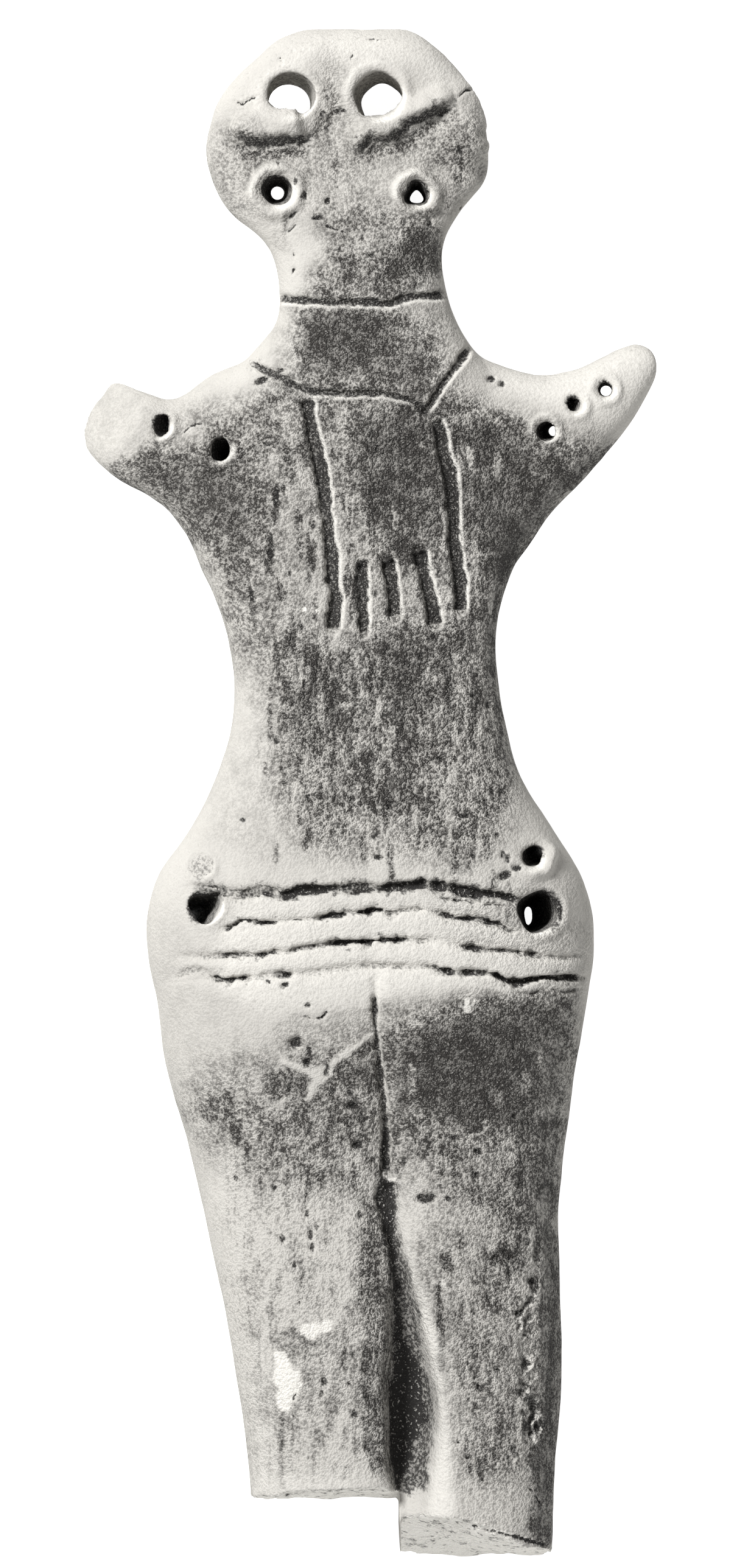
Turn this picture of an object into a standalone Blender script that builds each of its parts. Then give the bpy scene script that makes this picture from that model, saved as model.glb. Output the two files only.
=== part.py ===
# Clay idol: a flat figure modelled by hand from one lump of clay and fired.
# Its head, shoulders and hips are pierced, one arm and both lower legs are broken off.
# It lies on its back with the carved side up: +Z is up and +Y points to the crown.
# The origin is under the middle of the figure, on the surface that it lies on.

import math

import bmesh
import bpy
import numpy as np
from mathutils import Matrix, Vector, noise

# Driving sizes, in metres
FIGURE_LENGTH = 0.160  # crown to the lowest break
HEAD_DEPTH = 0.0080  # all depths are from back to front
NECK_DEPTH = 0.0098
CHEST_DEPTH = 0.0130
WAIST_DEPTH = 0.0126
HIP_DEPTH = 0.0196
THIGH_DEPTH = 0.0172
SHIN_DEPTH = 0.0162
ARM_ROOT_DEPTH = 0.0108
ARM_TIP_DEPTH = 0.0052

# How far the back stands off the table, and how much is worn flat where it rests
HEAD_LIFT = 0.0024
NECK_LIFT = 0.0020
WAIST_LIFT = 0.0016
SHIN_LIFT = 0.0012
WORN_DEPTH = 0.0004

# Pierced holes: width at the carved side and at the back
EYE_MOUTH, EYE_EXIT = 0.0051, 0.0043
EAR_MOUTH, EAR_EXIT = 0.0036, 0.0014
SHOULDER_MOUTH, SHOULDER_EXIT = 0.0023, 0.0011
HIP_MOUTH, HIP_EXIT = 0.0044, 0.0016
WAIST_HOLE_MOUTH, WAIST_HOLE_EXIT = 0.0023, 0.0014
STOP_DEPTH = 0.0006  # how deep the one hole is that is stopped with clay

# Incised lines
NECK_LINE_WIDTH, NECK_LINE_DEPTH = 0.0010, 0.0005
STROKE_WIDTH, STROKE_DEPTH = 0.0016, 0.0007
BELT_LINE_WIDTH, BELT_LINE_DEPTH = 0.0009, 0.0006
LEG_LINE_WIDTH, LEG_LINE_DEPTH = 0.0010, 0.0007
CLEFT_WIDTH, CLEFT_DEPTH = 0.0032, 0.0020  # the gouge that parts the legs, over the hollow between them

# Raised clay
RIDGE_WIDTH, RIDGE_HEIGHT = 0.0026, 0.0008  # the brow-like ridge under each eye
LIP_WIDTH, LIP_HEIGHT = 0.0009, 0.0004  # clay pushed up around a pierced hole

# Broken ends
BREAK_ROUGHNESS = 0.0006
BREAK_GRAIN = 0.0030  # the size of the bumps on a break
BREAK_PATTERN = 7  # picks the pattern of the bumps
BREAK_SPAN = 1.6 * HIP_DEPTH  # more than the figure is deep
STUMP_RISE = 0.0014  # how far the middle of the arm's break lies above the middle of the arm

# Mesh fineness
COLUMNS_PER_SIDE = 7
HEAD_ROWS, TRUNK_ROWS, LEG_ROWS = 14, 19, 9
ARM_ROWS = 9
HOLE_SIDES = 14
BREAK_CELLS = 10
LINE_SPACING, RIDGE_SPACING = 22, 11  # in thousandths of the figure's length
CLEFT_ROWS = 8
LINE_END_TAPER = 0.75
CUTTER_MARGIN = 0.002

FRONT, BACK = 1, -1

# The plan is in thousandths of the figure's length, from the middle of the figure,
# as (towards the crown, across) for an edge and (across, towards the crown) for a line.
CROWN, SHOULDERS, CHEST, HIPS, LOWEST = 500, 290, 215, -170, -500
LEFT_EDGE = (
    (500, -43), (493, -60), (468, -88), (443, -102), (421, -107), (401, -103), (380, -92),
    (359, -68), (324, -60), (296, -70), (255, -102), (221, -114), (189, -119), (138, -105),
    (106, -94), (75, -89), (43, -91), (9, -102), (-52, -138), (-76, -145), (-104, -145),
    (-171, -134), (-274, -107), (-384, -86), (-530, -75),
)
RIGHT_EDGE = (
    (500, 25), (493, 36), (468, 61), (443, 73), (421, 77), (401, 74), (383, 59), (359, 47),
    (324, 51), (296, 64), (255, 91), (221, 98), (189, 100), (138, 89), (106, 82), (75, 82),
    (43, 88), (9, 99), (-52, 137), (-76, 144), (-104, 145), (-171, 134), (-274, 122),
    (-380, 124), (-530, 116),
)
MIDDLE_LINE = (
    (500, -10), (421, -15), (344, -7), (75, -4), (-115, 3), (-214, 9), (-285, 16), (-373, 21), (-530, 21),
)
# The side view: how far the back stands off the table, and how deep the figure is
SIDE_VIEW = (
    (CROWN, HEAD_LIFT, HEAD_DEPTH), (400, HEAD_LIFT, HEAD_DEPTH), (330, NECK_LIFT, NECK_DEPTH),
    (CHEST, -WORN_DEPTH, CHEST_DEPTH), (75, WAIST_LIFT, WAIST_DEPTH), (-70, -WORN_DEPTH / 2, HIP_DEPTH),
    (-118, -WORN_DEPTH, HIP_DEPTH), (-218, -WORN_DEPTH / 2, THIGH_DEPTH), (-330, SHIN_LIFT / 2, THIGH_DEPTH),
    (-450, SHIN_LIFT, SHIN_DEPTH), (-530, SHIN_LIFT, SHIN_DEPTH),
)
# 2 is an ellipse across, and more is squarer
SQUARENESS = ((500, 3.2), (380, 2.9), (320, 2.4), (240, 2.8), (75, 2.7), (-80, 2.5), (-530, 2.4))
# How far the section has become two legs, from 0 to 1
LEG_LOBES = ((500, 0), (-40, 0), (-120, 0.08), (-200, 0.22), (-300, 0.44), (-430, 0.5), (-530, 0.5))

# The top and the under edge of each arm, from inside the shoulder outwards
RIGHT_ARM_TOP = (
    (58, 288), (80, 284), (108, 275), (130, 277), (148, 285), (162, 292), (173, 295), (182, 292), (186, 285),
)
RIGHT_ARM_UNDER = (
    (64, 150), (91, 148), (117, 183), (136, 203), (153, 222), (168, 240), (178, 256), (184, 268), (187, 276),
)
LEFT_ARM_TOP = (
    (-67, 264), (-84, 281), (-106, 274), (-122, 261), (-134, 259), (-146, 264), (-156, 268), (-170, 280),
)
LEFT_ARM_UNDER = (
    (-71, 150), (-104, 136), (-117, 165), (-129, 183), (-143, 195), (-160, 204), (-173, 213), (-197, 233),
)
ARM_START, ARM_END = 65, 187  # how far out the arms begin and end
ARM_SQUARENESS = 2.3

# Each pierced hole: its place at the front, and how far from there it comes out at the back
EYES = (((-52, 455), (-2, -3)), ((5, 456), (2, -3)))
EARS = (((-61, 393), (0, 0)), ((29, 392), (0, 0)))
SHOULDER_HOLES = (
    ((-136, 240), (14, 4)), ((-98, 225), (12, -8)),
    ((114, 237), (6, 2)), ((133, 254), (-13, 5)), ((152, 264), (0, 0)),
)
HIP_HOLES = (((-106, -72), (-17, -10)), ((108, -74), (-9, -5)))
WAIST_HOLE = ((104, -39), (12, 6))
STOPPED_HOLE = ((-109, -45), (0, 0))

NECK_LINE = ((-60, 323), (-43, 321), (-19, 320), (5, 319), (28, 321.5), (49, 325))
COLLAR_LINE = ((-76, 284), (-59, 270), (-44, 260.5), (-20, 258), (4, 256), (20, 250.5), (40, 244))
COLLAR_RISE = ((40, 244), (51, 262), (61, 284))
STROKES = (
    ((-41, 257), (-37, 234), (-32, 212), (-29, 193), (-27, 171), (-24, 146), (-23, 124), (-23, 109)),
    ((-5, 151), (-5, 130), (-4, 106)),
    ((11, 153), (14, 135), (16, 116)),
    ((32, 158), (36, 140), (40, 124), (42, 112)),
    ((43, 243), (49, 218), (53, 195), (54, 171), (57.5, 143), (59, 121)),
)
BELT_LINES = (
    ((-92, -62), (-59, -60), (-35, -59), (19, -60), (49, -59), (75, -64), (93, -68)),
    ((-94, -85), (-60, -81), (-3, -75), (43, -75), (75, -80), (98, -87)),
    ((-128, -103), (-77, -104), (-49, -99), (20, -93), (69, -98), (94, -101), (130, -104)),
    ((-124, -119), (-84, -117), (-18, -112), (18, -110), (53, -113), (86, -118), (131, -118)),
)
BACK_BELT_LEVELS = (-68, -92, -116)
BACK_BELT_REACH, BACK_BELT_RISE = 118, 5  # how far out they run, and how they arch
BACK_NECK_LINE = ((-48, 323), (-6, 319), (38, 323))
LEG_LINE = ((3, -112), (2, -131), (4, -155), (6, -173), (9, -194), (10, -214), (9.5, -236), (11, -258))
CLEFT_START, CLEFT_END = -250, -510
CLEFT_OPENING = 2.2  # it reaches its full width in one part of this many of its length

LEFT_RIDGE = ((-97, 438), (-86, 434), (-65, 432), (-45, 434), (-33, 442), (-30, 452))
RIGHT_RIDGE = ((-6, 437), (2, 431), (14, 431), (26, 438), (41, 447), (54, 456), (64, 461))

# Broken ends: the middle of the break, how wide it reaches, and the way that it faces
STUMP_BREAK = ((-164, 242), 110, (-0.68, 0.31, 0.66))
LEFT_LEG_BREAK = ((-52, -454), 140, (0.0, -1.0, 0.12))
RIGHT_LEG_BREAK = ((74, -485), 112, (-0.14, -1.0, 0.26))


def share(thousandths):
    """A length given in thousandths of the figure's length, in metres."""
    return np.asarray(thousandths, float) / 1000 * FIGURE_LENGTH


def through(knots):
    """A smooth curve through (place, value) knots, as a function of the place."""
    places, values = np.array(sorted(knots), float).T
    slopes = np.gradient(values, places)

    def curve(at):
        at = np.clip(at, places[0], places[-1])
        i = np.clip(np.searchsorted(places, at) - 1, 0, len(places) - 2)
        step = places[i + 1] - places[i]
        t = (at - places[i]) / step
        rise = (3 * t**2 - 2 * t**3) * (values[i + 1] - values[i])
        bend = (t**3 - 2 * t**2 + t) * slopes[i] + (t**3 - t**2) * slopes[i + 1]
        return values[i] + rise + bend * step

    return curve


def smooth_line(points, spacing):
    """Points along a smooth line through the given ones, about this far apart."""
    points = np.array(points, float)
    travelled = np.concatenate([[0], np.cumsum(np.linalg.norm(np.diff(points, axis=0), axis=1))])
    count = max(4, math.ceil(travelled[-1] / spacing) + 1)
    at = np.linspace(0, travelled[-1], count)
    return np.column_stack([through(zip(travelled, column))(at) for column in points.T])


left_edge = through(LEFT_EDGE)
right_edge = through(RIGHT_EDGE)
middle_line = through(MIDDLE_LINE)
squareness = through(SQUARENESS)
leg_lobes = through(LEG_LOBES)
body_lift = through([(along, lift) for along, lift, depth in SIDE_VIEW])
body_depth = through([(along, depth) for along, lift, depth in SIDE_VIEW])


def bulge(across, split, square, lobes):
    """How full the section is, from 0 at its edges to 1, at these places across it from 0 to 1."""
    u = np.where(across < split, (split - across) / split, (across - split) / (1 - split))
    single = np.clip(1 - u**square, 0, 1) ** (1 / square)
    paired = np.clip(1 - np.abs(2 * u - 1) ** square, 0, 1) ** (1 / square)
    return single * (1 - lobes) + paired * lobes


def crown_rounding(along):
    """The head thins to nothing at the crown, over its own half depth."""
    inside = np.clip(share(CROWN - along) / (HEAD_DEPTH / 2), 0, 1)
    return np.sqrt(1 - (1 - inside) ** 2)


def body_section(along):
    """The body's edges, split, middle height, half depth, squareness and lobes at a height."""
    left, right = left_edge(along), right_edge(along)
    split = (middle_line(along) - left) / (right - left)
    half = body_depth(along) / 2
    middle = body_lift(along) + half
    return left, right, split, middle, half * crown_rounding(along), squareness(along), leg_lobes(along)


def arm_section(across):
    """The middle height and half depth of an arm, this far from the middle of the figure."""
    out = np.clip((abs(across) - ARM_START) / (ARM_END - ARM_START), 0, 1)
    half = (ARM_ROOT_DEPTH + (ARM_TIP_DEPTH - ARM_ROOT_DEPTH) * out**1.5) / 2
    return CHEST_DEPTH / 2 - WORN_DEPTH, half


def surface_height(across, along, side):
    """The height of the front or back over a place in the plan."""
    left, right, split, middle, half, square, lobes = body_section(along)
    if not left < across < right:
        middle, half = arm_section(across)
        return middle + side * half
    return middle + side * half * bulge((across - left) / (right - left), split, square, lobes)


def surface_point(across, along, side):
    """A point on the front or back, and the way that the surface faces there."""
    reach = 1.5
    rise_x = surface_height(across + reach, along, side) - surface_height(across - reach, along, side)
    rise_y = surface_height(across, along + reach, side) - surface_height(across, along - reach, side)
    point = Vector((*share((across, along)), surface_height(across, along, side)))
    return point, Vector((-rise_x, -rise_y, share(2 * reach))).normalized() * side


def ring(a, b, columns, split, middle, half, square, lobes=0.0):
    """A closed ring of points from edge a to edge b over the front and home over the back."""
    fan = (1 - np.cos(np.linspace(0, math.pi, columns + 1))) / 2
    across = np.concatenate([split * fan, split + (1 - split) * fan[1:]])
    height = half * bulge(across, split, square, lobes)
    flat = np.outer(1 - across, a) + np.outer(across, b)
    front = np.column_stack([flat, middle + height])
    back = np.column_stack([flat, middle - height])[-2:0:-1]
    return np.vstack([front, back])


def solid(name, mesh):
    """An object from a closed mesh, in triangles that face outwards."""
    bmesh.ops.triangulate(mesh, faces=mesh.faces, quad_method="SHORT_EDGE")
    bmesh.ops.recalc_face_normals(mesh, faces=mesh.faces)
    data = bpy.data.meshes.new(name)
    mesh.to_mesh(data)
    mesh.free()
    data.shade_smooth()
    data.set_sharp_from_angle(angle=math.radians(40))
    return bpy.data.objects.new(name, data)


def loft(name, rings):
    """A closed solid through rings that have the same number of points."""
    mesh = bmesh.new()
    rows = [[mesh.verts.new(point) for point in points] for points in rings]
    count = len(rows[0])
    for near, far in zip(rows, rows[1:]):
        for i in range(count):
            j = (i + 1) % count
            mesh.faces.new((near[i], near[j], far[j], far[i]))
    mesh.faces.new(rows[0])
    mesh.faces.new(reversed(rows[-1]))
    return solid(name, mesh)


def body():
    """Head, neck, trunk and legs in one loft, down past the breaks."""
    rim = 1000 * HEAD_DEPTH / 2 / FIGURE_LENGTH
    alongs = [CROWN - rim * (1 - math.cos(math.radians(turn))) for turn in (12, 35, 60)]
    for first, last, rows in ((CROWN - rim, SHOULDERS, HEAD_ROWS), (SHOULDERS, HIPS, TRUNK_ROWS)):
        alongs += list(np.linspace(first, last, rows, endpoint=False))
    alongs += list(np.linspace(HIPS, LOWEST - 20, LEG_ROWS))
    rings = []
    for along in alongs:
        left, right, *rest = body_section(along)
        rings.append(ring(share((left, along)), share((right, along)), COLUMNS_PER_SIDE, *rest))
    return loft("idol", rings)


def arm(name, top, under):
    """One arm, from inside the shoulder to its tip or past its break."""
    index = np.arange(len(top))
    steps = np.linspace(0, len(top) - 1, ARM_ROWS)
    tops = np.column_stack([through(zip(index, column))(steps) for column in np.array(top, float).T])
    unders = np.column_stack([through(zip(index, column))(steps) for column in np.array(under, float).T])
    rings = []
    for a, b in zip(tops, unders):
        middle, half = arm_section((a[0] + b[0]) / 2)
        rings.append(ring(share(a), share(b), COLUMNS_PER_SIDE // 2, 0.5, middle, half, ARM_SQUARENESS))
    return loft(name, rings)


def tube(name, points, radii):
    """A closed round tube through the points."""
    curve = bpy.data.curves.new(name, "CURVE")
    curve.dimensions = "3D"
    curve.bevel_depth = 1.0
    curve.bevel_resolution = 2
    curve.use_fill_caps = True
    spline = curve.splines.new("POLY")
    spline.points.add(len(points) - 1)
    for spot, point, radius in zip(spline.points, points, radii):
        spot.co = (*point, 1)
        spot.radius = radius
    guide = bpy.data.objects.new(name, curve)
    bpy.context.scene.collection.objects.link(guide)
    bpy.context.view_layer.update()
    data = bpy.data.meshes.new_from_object(guide.evaluated_get(bpy.context.evaluated_depsgraph_get()))
    mesh = bmesh.new()
    mesh.from_mesh(data)
    mesh.transform(guide.matrix_world)
    bpy.data.objects.remove(guide)
    bmesh.ops.remove_doubles(mesh, verts=mesh.verts, dist=1e-6)
    return solid(name, mesh)


def surface_tube(name, places, radii, rises, side=FRONT):
    """A tube that follows the surface, with its middle this far above it at each place."""
    points = []
    for (across, along), rise in zip(places, rises):
        point, outward = surface_point(across, along, side)
        points.append(point + outward * rise)
    return tube(name, points, radii)


def arc_radius(width, height):
    """The radius of a round that is this wide where it meets the surface and this high."""
    return (width**2 / 4 + height**2) / (2 * height)


def groove(name, line, width, depth, side=FRONT):
    """The cutter of an incised line, which is narrower at its ends."""
    places = smooth_line(line, LINE_SPACING)
    radii = np.full(len(places), arc_radius(width, depth))
    rises = radii - depth
    radii[[0, -1]] *= LINE_END_TAPER
    return surface_tube(name, places, radii, rises, side)


def ridge(name, line, width, height):
    """A raised roll of clay."""
    places = smooth_line(line, RIDGE_SPACING)
    radii = np.full(len(places), arc_radius(width, height))
    rises = height - radii
    radii[[0, -1]] *= LINE_END_TAPER
    return surface_tube(name, places, radii, rises)


def cleft():
    """The gouge between the legs, which opens out of the line between the thighs."""
    alongs = np.linspace(CLEFT_START, CLEFT_END, CLEFT_ROWS)
    opening = np.clip(np.linspace(0, CLEFT_OPENING, CLEFT_ROWS), 0, 1)
    widths = LEG_LINE_WIDTH + (CLEFT_WIDTH - LEG_LINE_WIDTH) * opening
    depths = LEG_LINE_DEPTH + (CLEFT_DEPTH - LEG_LINE_DEPTH) * opening
    radii = arc_radius(widths, depths)
    return surface_tube("cleft", list(zip(middle_line(alongs), alongs)), radii, radii - depths)


def hole(name, place, mouth, exit_width, floor_depth=None):
    """The cutter of a hole that narrows from front to back, or stops at a depth."""
    (across, along), (lean_across, lean_along) = place
    front, _ = surface_point(across, along, FRONT)
    back, _ = surface_point(across + lean_across, along + lean_along, BACK)
    axis = (front - back).normalized()
    below = CUTTER_MARGIN
    if floor_depth is not None:
        back = front - axis * floor_depth
        below = 0.0
    depth = (front - back).length
    narrowing = (mouth - exit_width) / 2 / depth
    mesh = bmesh.new()
    bmesh.ops.create_cone(
        mesh,
        cap_ends=True,
        segments=HOLE_SIDES,
        radius1=exit_width / 2 - narrowing * below,
        radius2=mouth / 2 + narrowing * CUTTER_MARGIN,
        depth=depth + below + CUTTER_MARGIN,
    )
    centre = (front + back + axis * (CUTTER_MARGIN - below)) / 2
    turn = axis.to_track_quat("Z", "Y").to_matrix().to_4x4()
    mesh.transform(Matrix.Translation(centre) @ turn)
    return solid(name, mesh)


def lip(name, place, mouth):
    """A low ring of clay around the mouth of a pierced hole."""
    front, outward = surface_point(*place[0], FRONT)
    radius = arc_radius(LIP_WIDTH, LIP_HEIGHT)
    bpy.ops.mesh.primitive_torus_add(
        major_radius=mouth / 2 + LIP_WIDTH / 3,
        minor_radius=radius,
        major_segments=HOLE_SIDES,
        minor_segments=8,
    )
    made = bpy.context.object
    made.name = name
    turn = outward.to_track_quat("Z", "Y").to_matrix().to_4x4()
    made.data.transform(Matrix.Translation(front + outward * (LIP_HEIGHT - radius)) @ turn)
    bpy.context.collection.objects.unlink(made)
    return made


def broken_end(name, place, width, facing, height):
    """A block with a rough face, which takes off everything beyond a break."""
    mesh = bmesh.new()
    bmesh.ops.create_grid(mesh, x_segments=BREAK_CELLS, y_segments=BREAK_CELLS, size=0.5)
    mesh.transform(Matrix.Diagonal((share(width), BREAK_SPAN, 1, 1)))
    for vert in mesh.verts:
        spot = vert.co / BREAK_GRAIN + Vector((BREAK_PATTERN, BREAK_PATTERN, 0.5))
        vert.co.z = BREAK_ROUGHNESS * noise.noise(spot)
    grown = bmesh.ops.extrude_face_region(mesh, geom=mesh.faces[:])["geom"]
    tops = [item for item in grown if isinstance(item, bmesh.types.BMVert)]
    bmesh.ops.translate(mesh, verts=tops, vec=(0, 0, BREAK_SPAN))
    for vert in tops:
        vert.co.z = BREAK_SPAN
    outward = Vector(facing).normalized()
    sideways = Vector((-outward.y, outward.x, 0)).normalized()
    turn = Matrix((sideways, outward.cross(sideways), outward)).transposed().to_4x4()
    mesh.transform(Matrix.Translation((*share(place), height)) @ turn)
    return solid(name, mesh)


def table_block():
    """The block below the table, which leaves the worn flats that the back rests on."""
    mesh = bmesh.new()
    bmesh.ops.create_cube(mesh, size=1.0)
    width, length, depth = share(600), share(1200), CHEST_DEPTH
    mesh.transform(Matrix.Translation((0, 0, -depth / 2)) @ Matrix.Diagonal((width, length, depth, 1)))
    return solid("worn_flats", mesh)


def clay(name, colour, roughness):
    """The material of dull fired clay."""
    material = bpy.data.materials.new(name)
    material.use_nodes = True
    shader = material.node_tree.nodes["Principled BSDF"]
    shader.inputs["Base Color"].default_value = (*colour, 1)
    shader.inputs["Roughness"].default_value = roughness
    shader.inputs["Metallic"].default_value = 0.0
    return material


def raised_clay():
    """Everything that was joined to the body: the arms, the ridges and the lips of the holes."""
    made = [
        arm("right_arm", RIGHT_ARM_TOP, RIGHT_ARM_UNDER),
        arm("left_arm", LEFT_ARM_TOP, LEFT_ARM_UNDER),
        ridge("left_eye_ridge", LEFT_RIDGE, RIDGE_WIDTH, RIDGE_HEIGHT),
        ridge("right_eye_ridge", RIGHT_RIDGE, RIDGE_WIDTH, RIDGE_HEIGHT),
        lip("waist_hole_lip", WAIST_HOLE, WAIST_HOLE_MOUTH),
    ]
    made += [lip(f"ear_lip_{i}", place, EAR_MOUTH) for i, place in enumerate(EARS)]
    return made


def pierced_holes():
    """The holes through the head, shoulders and hips, and the one that is stopped."""
    made = []
    kinds = (
        ("eye", EYES, EYE_MOUTH, EYE_EXIT),
        ("ear", EARS, EAR_MOUTH, EAR_EXIT),
        ("shoulder", SHOULDER_HOLES, SHOULDER_MOUTH, SHOULDER_EXIT),
        ("hip", HIP_HOLES, HIP_MOUTH, HIP_EXIT),
        ("waist", (WAIST_HOLE,), WAIST_HOLE_MOUTH, WAIST_HOLE_EXIT),
    )
    for kind, places, mouth, exit_width in kinds:
        made += [hole(f"{kind}_{i}", place, mouth, exit_width) for i, place in enumerate(places)]
    stopped = hole("stopped_hole", STOPPED_HOLE, WAIST_HOLE_MOUTH, WAIST_HOLE_MOUTH, STOP_DEPTH)
    return [*made, stopped]


def incised_lines():
    """The neck line, the collar, the strokes on the chest, the belt and the line between the legs."""
    made = []
    for name, line in (("neck_line", NECK_LINE), ("collar_line", COLLAR_LINE), ("collar_rise", COLLAR_RISE)):
        made.append(groove(name, line, NECK_LINE_WIDTH, NECK_LINE_DEPTH))
    made += [groove(f"stroke_{i}", line, STROKE_WIDTH, STROKE_DEPTH) for i, line in enumerate(STROKES)]
    made += [groove(f"belt_{i}", line, BELT_LINE_WIDTH, BELT_LINE_DEPTH) for i, line in enumerate(BELT_LINES)]
    out, rise = BACK_BELT_REACH, BACK_BELT_RISE
    back_lines = [BACK_NECK_LINE]
    for at in BACK_BELT_LEVELS:
        back_lines.append(((-out, at), (-out / 2, at + rise), (out / 2, at + rise), (out, at)))
    for i, line in enumerate(back_lines):
        made.append(groove(f"back_line_{i}", line, BELT_LINE_WIDTH, BELT_LINE_DEPTH, BACK))
    made.append(groove("leg_line", LEG_LINE, LEG_LINE_WIDTH, LEG_LINE_DEPTH))
    return [*made, cleft()]


def worn_and_broken():
    """The three broken ends, and the wear where the back rests."""
    shin = SHIN_LIFT + SHIN_DEPTH / 2
    arm_middle, _ = arm_section(ARM_END)
    return [
        broken_end("stump_break", *STUMP_BREAK, arm_middle + STUMP_RISE),
        broken_end("left_leg_break", *LEFT_LEG_BREAK, shin),
        broken_end("right_leg_break", *RIGHT_LEG_BREAK, shin),
        table_block(),
    ]


def collect(name, objects, guide=False):
    """A collection of these objects. Guides only shape the figure."""
    collection = bpy.data.collections.new(name)
    bpy.context.scene.collection.children.link(collection)
    for made in objects:
        collection.objects.link(made)
        if guide:
            made.hide_render = True
            made.display_type = "WIRE"
    return collection


def combine(made, name, operation, collection):
    """A Boolean with every object of a collection."""
    boolean = made.modifiers.new(name, "BOOLEAN")
    boolean.operation = operation
    boolean.operand_type = "COLLECTION"
    boolean.collection = collection
    boolean.solver = "EXACT"


def main():
    for old in list(bpy.data.objects):
        bpy.data.objects.remove(old)
    idol = body()
    idol.data.materials.append(clay("fired clay", (0.40, 0.39, 0.37), 0.85))
    collect("clay idol", [idol])
    combine(idol, "raised clay", "UNION", collect("raised clay", raised_clay(), guide=True))
    cuts = pierced_holes() + incised_lines() + worn_and_broken()
    combine(idol, "cuts", "DIFFERENCE", collect("cuts", cuts, guide=True))


main()
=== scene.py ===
import bmesh
import bpy
import numpy as np
from mathutils import Matrix, Vector


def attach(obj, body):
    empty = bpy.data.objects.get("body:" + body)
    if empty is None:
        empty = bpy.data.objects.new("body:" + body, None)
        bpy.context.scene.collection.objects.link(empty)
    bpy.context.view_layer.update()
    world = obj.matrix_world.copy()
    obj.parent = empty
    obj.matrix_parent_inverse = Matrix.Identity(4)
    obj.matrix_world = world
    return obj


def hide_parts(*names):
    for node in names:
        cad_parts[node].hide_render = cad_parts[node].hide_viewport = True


# An idol modelled by hand from one lump of clay, pierced, incised, fired, and broken long ago.
# It lies on its back, and the camera looks straight down on it.
# The shape is worked out in millimetres. Places in the plan are in thousandths of the idol's
# length from its middle, as (across, towards the crown).

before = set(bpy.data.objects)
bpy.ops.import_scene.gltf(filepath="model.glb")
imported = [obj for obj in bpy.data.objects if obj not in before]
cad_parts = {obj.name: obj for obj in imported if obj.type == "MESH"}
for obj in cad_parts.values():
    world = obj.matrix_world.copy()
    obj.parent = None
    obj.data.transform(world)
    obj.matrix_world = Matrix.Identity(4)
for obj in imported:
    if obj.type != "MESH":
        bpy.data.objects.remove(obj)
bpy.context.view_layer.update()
print("frame loaded")

milli = 0.001
front, back = 1, -1
awayFromLight = np.array([0.74, -0.67])  # the light comes over the upper left
layerNames = ("soilAndShade", "bareAndHighlight", "stainAndShade", "rough")

idol = {
    "length": 160.0,
    "crown": 500,
    "lowest": -520,
    "headDepth": 8.0,
    # the outline and the line where the front is highest, as (towards the crown, across)
    "leftEdge": (
        (500, -43), (493, -60), (482, -73), (468, -88), (443, -102), (421, -107), (401, -103.5), (380, -92),
        (359, -68), (344, -62), (324, -60), (308, -62), (296, -70.5), (280, -85), (255, -102), (221, -114),
        (189, -119), (166, -117), (138, -105), (106, -94), (75, -89), (43, -91), (9, -102), (-20, -117),
        (-52, -138), (-76, -145), (-104, -145), (-131, -139), (-171, -134), (-214, -122), (-274, -107),
        (-384, -86), (-432, -79), (-530, -75),
    ),
    "rightEdge": (
        (500, 25), (493, 36), (482, 49), (468, 61), (443, 73), (421, 76.5), (401, 74), (383, 59),
        (359, 47.5), (344, 47), (324, 51), (310, 56), (296, 64), (280, 76), (255, 91), (221, 98),
        (189, 100), (166, 99), (138, 89), (106, 82), (75, 82.5), (43, 88), (9, 99), (-20, 118), (-52, 137),
        (-76, 144), (-100, 145), (-131, 141), (-171, 134), (-214, 128), (-274, 122), (-321, 122.5),
        (-380, 124), (-432, 120), (-530, 116),
    ),
    "middleLine": (
        (500, -10), (421, -15), (344, -7), (75, -4), (-115, 3), (-214, 9), (-285, 16), (-373, 21),
        (-530, 21),
    ),
    # place, how far the back stands off the table, depth from back to front
    "sideView": (
        (500, 2.4, 8.0), (400, 2.4, 8.0), (330, 2.0, 9.8), (215, -0.4, 13.0), (75, 1.6, 12.6),
        (-70, -0.2, 19.6), (-118, -0.4, 19.6), (-218, -0.2, 17.2), (-330, 0.6, 17.2), (-450, 1.2, 16.2),
        (-530, 1.2, 16.2),
    ),
    # 2 is an ellipse across, and more is squarer
    "squareness": (
        (500, 3.2), (380, 3.0), (320, 2.7), (240, 3.4), (75, 3.4), (-20, 3.1), (-80, 2.8), (-200, 2.5),
        (-530, 2.5),
    ),
    # how far the section has become two legs
    "legLobes": ((500, 0), (-40, 0), (-120, 0.08), (-200, 0.22), (-300, 0.44), (-430, 0.5), (-530, 0.5)),
    "crownTurns": range(8, 88, 10),  # degrees round the edge of the crown
    "rowSpacing": 1.0,
    "columns": 22,
}

arms = {
    "rightTop": (
        (58, 288), (80, 284), (108, 275), (130, 277), (148, 285), (162, 292), (173, 295), (182, 292),
        (186, 285),
    ),
    "rightUnder": (
        (64, 150), (91, 148), (117, 183), (136, 203), (153, 222), (168, 240), (178, 256), (184, 268),
        (187, 276),
    ),
    "leftTop": (
        (-67, 264), (-84, 281), (-106, 274), (-122, 261), (-134, 259), (-146, 264), (-156, 268),
        (-170, 280),
    ),
    "leftUnder": (
        (-71, 150), (-104, 136), (-117, 165), (-129, 183), (-143, 195), (-160, 204), (-173, 213),
        (-197, 233),
    ),
    "start": 65,
    "end": 187,
    "rootDepth": 10.8,
    "tipDepth": 5.2,
    "middle": 6.1,  # height of the arms' middle above the table
    "squareness": 2.3,
    "rows": 40,
}

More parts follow.
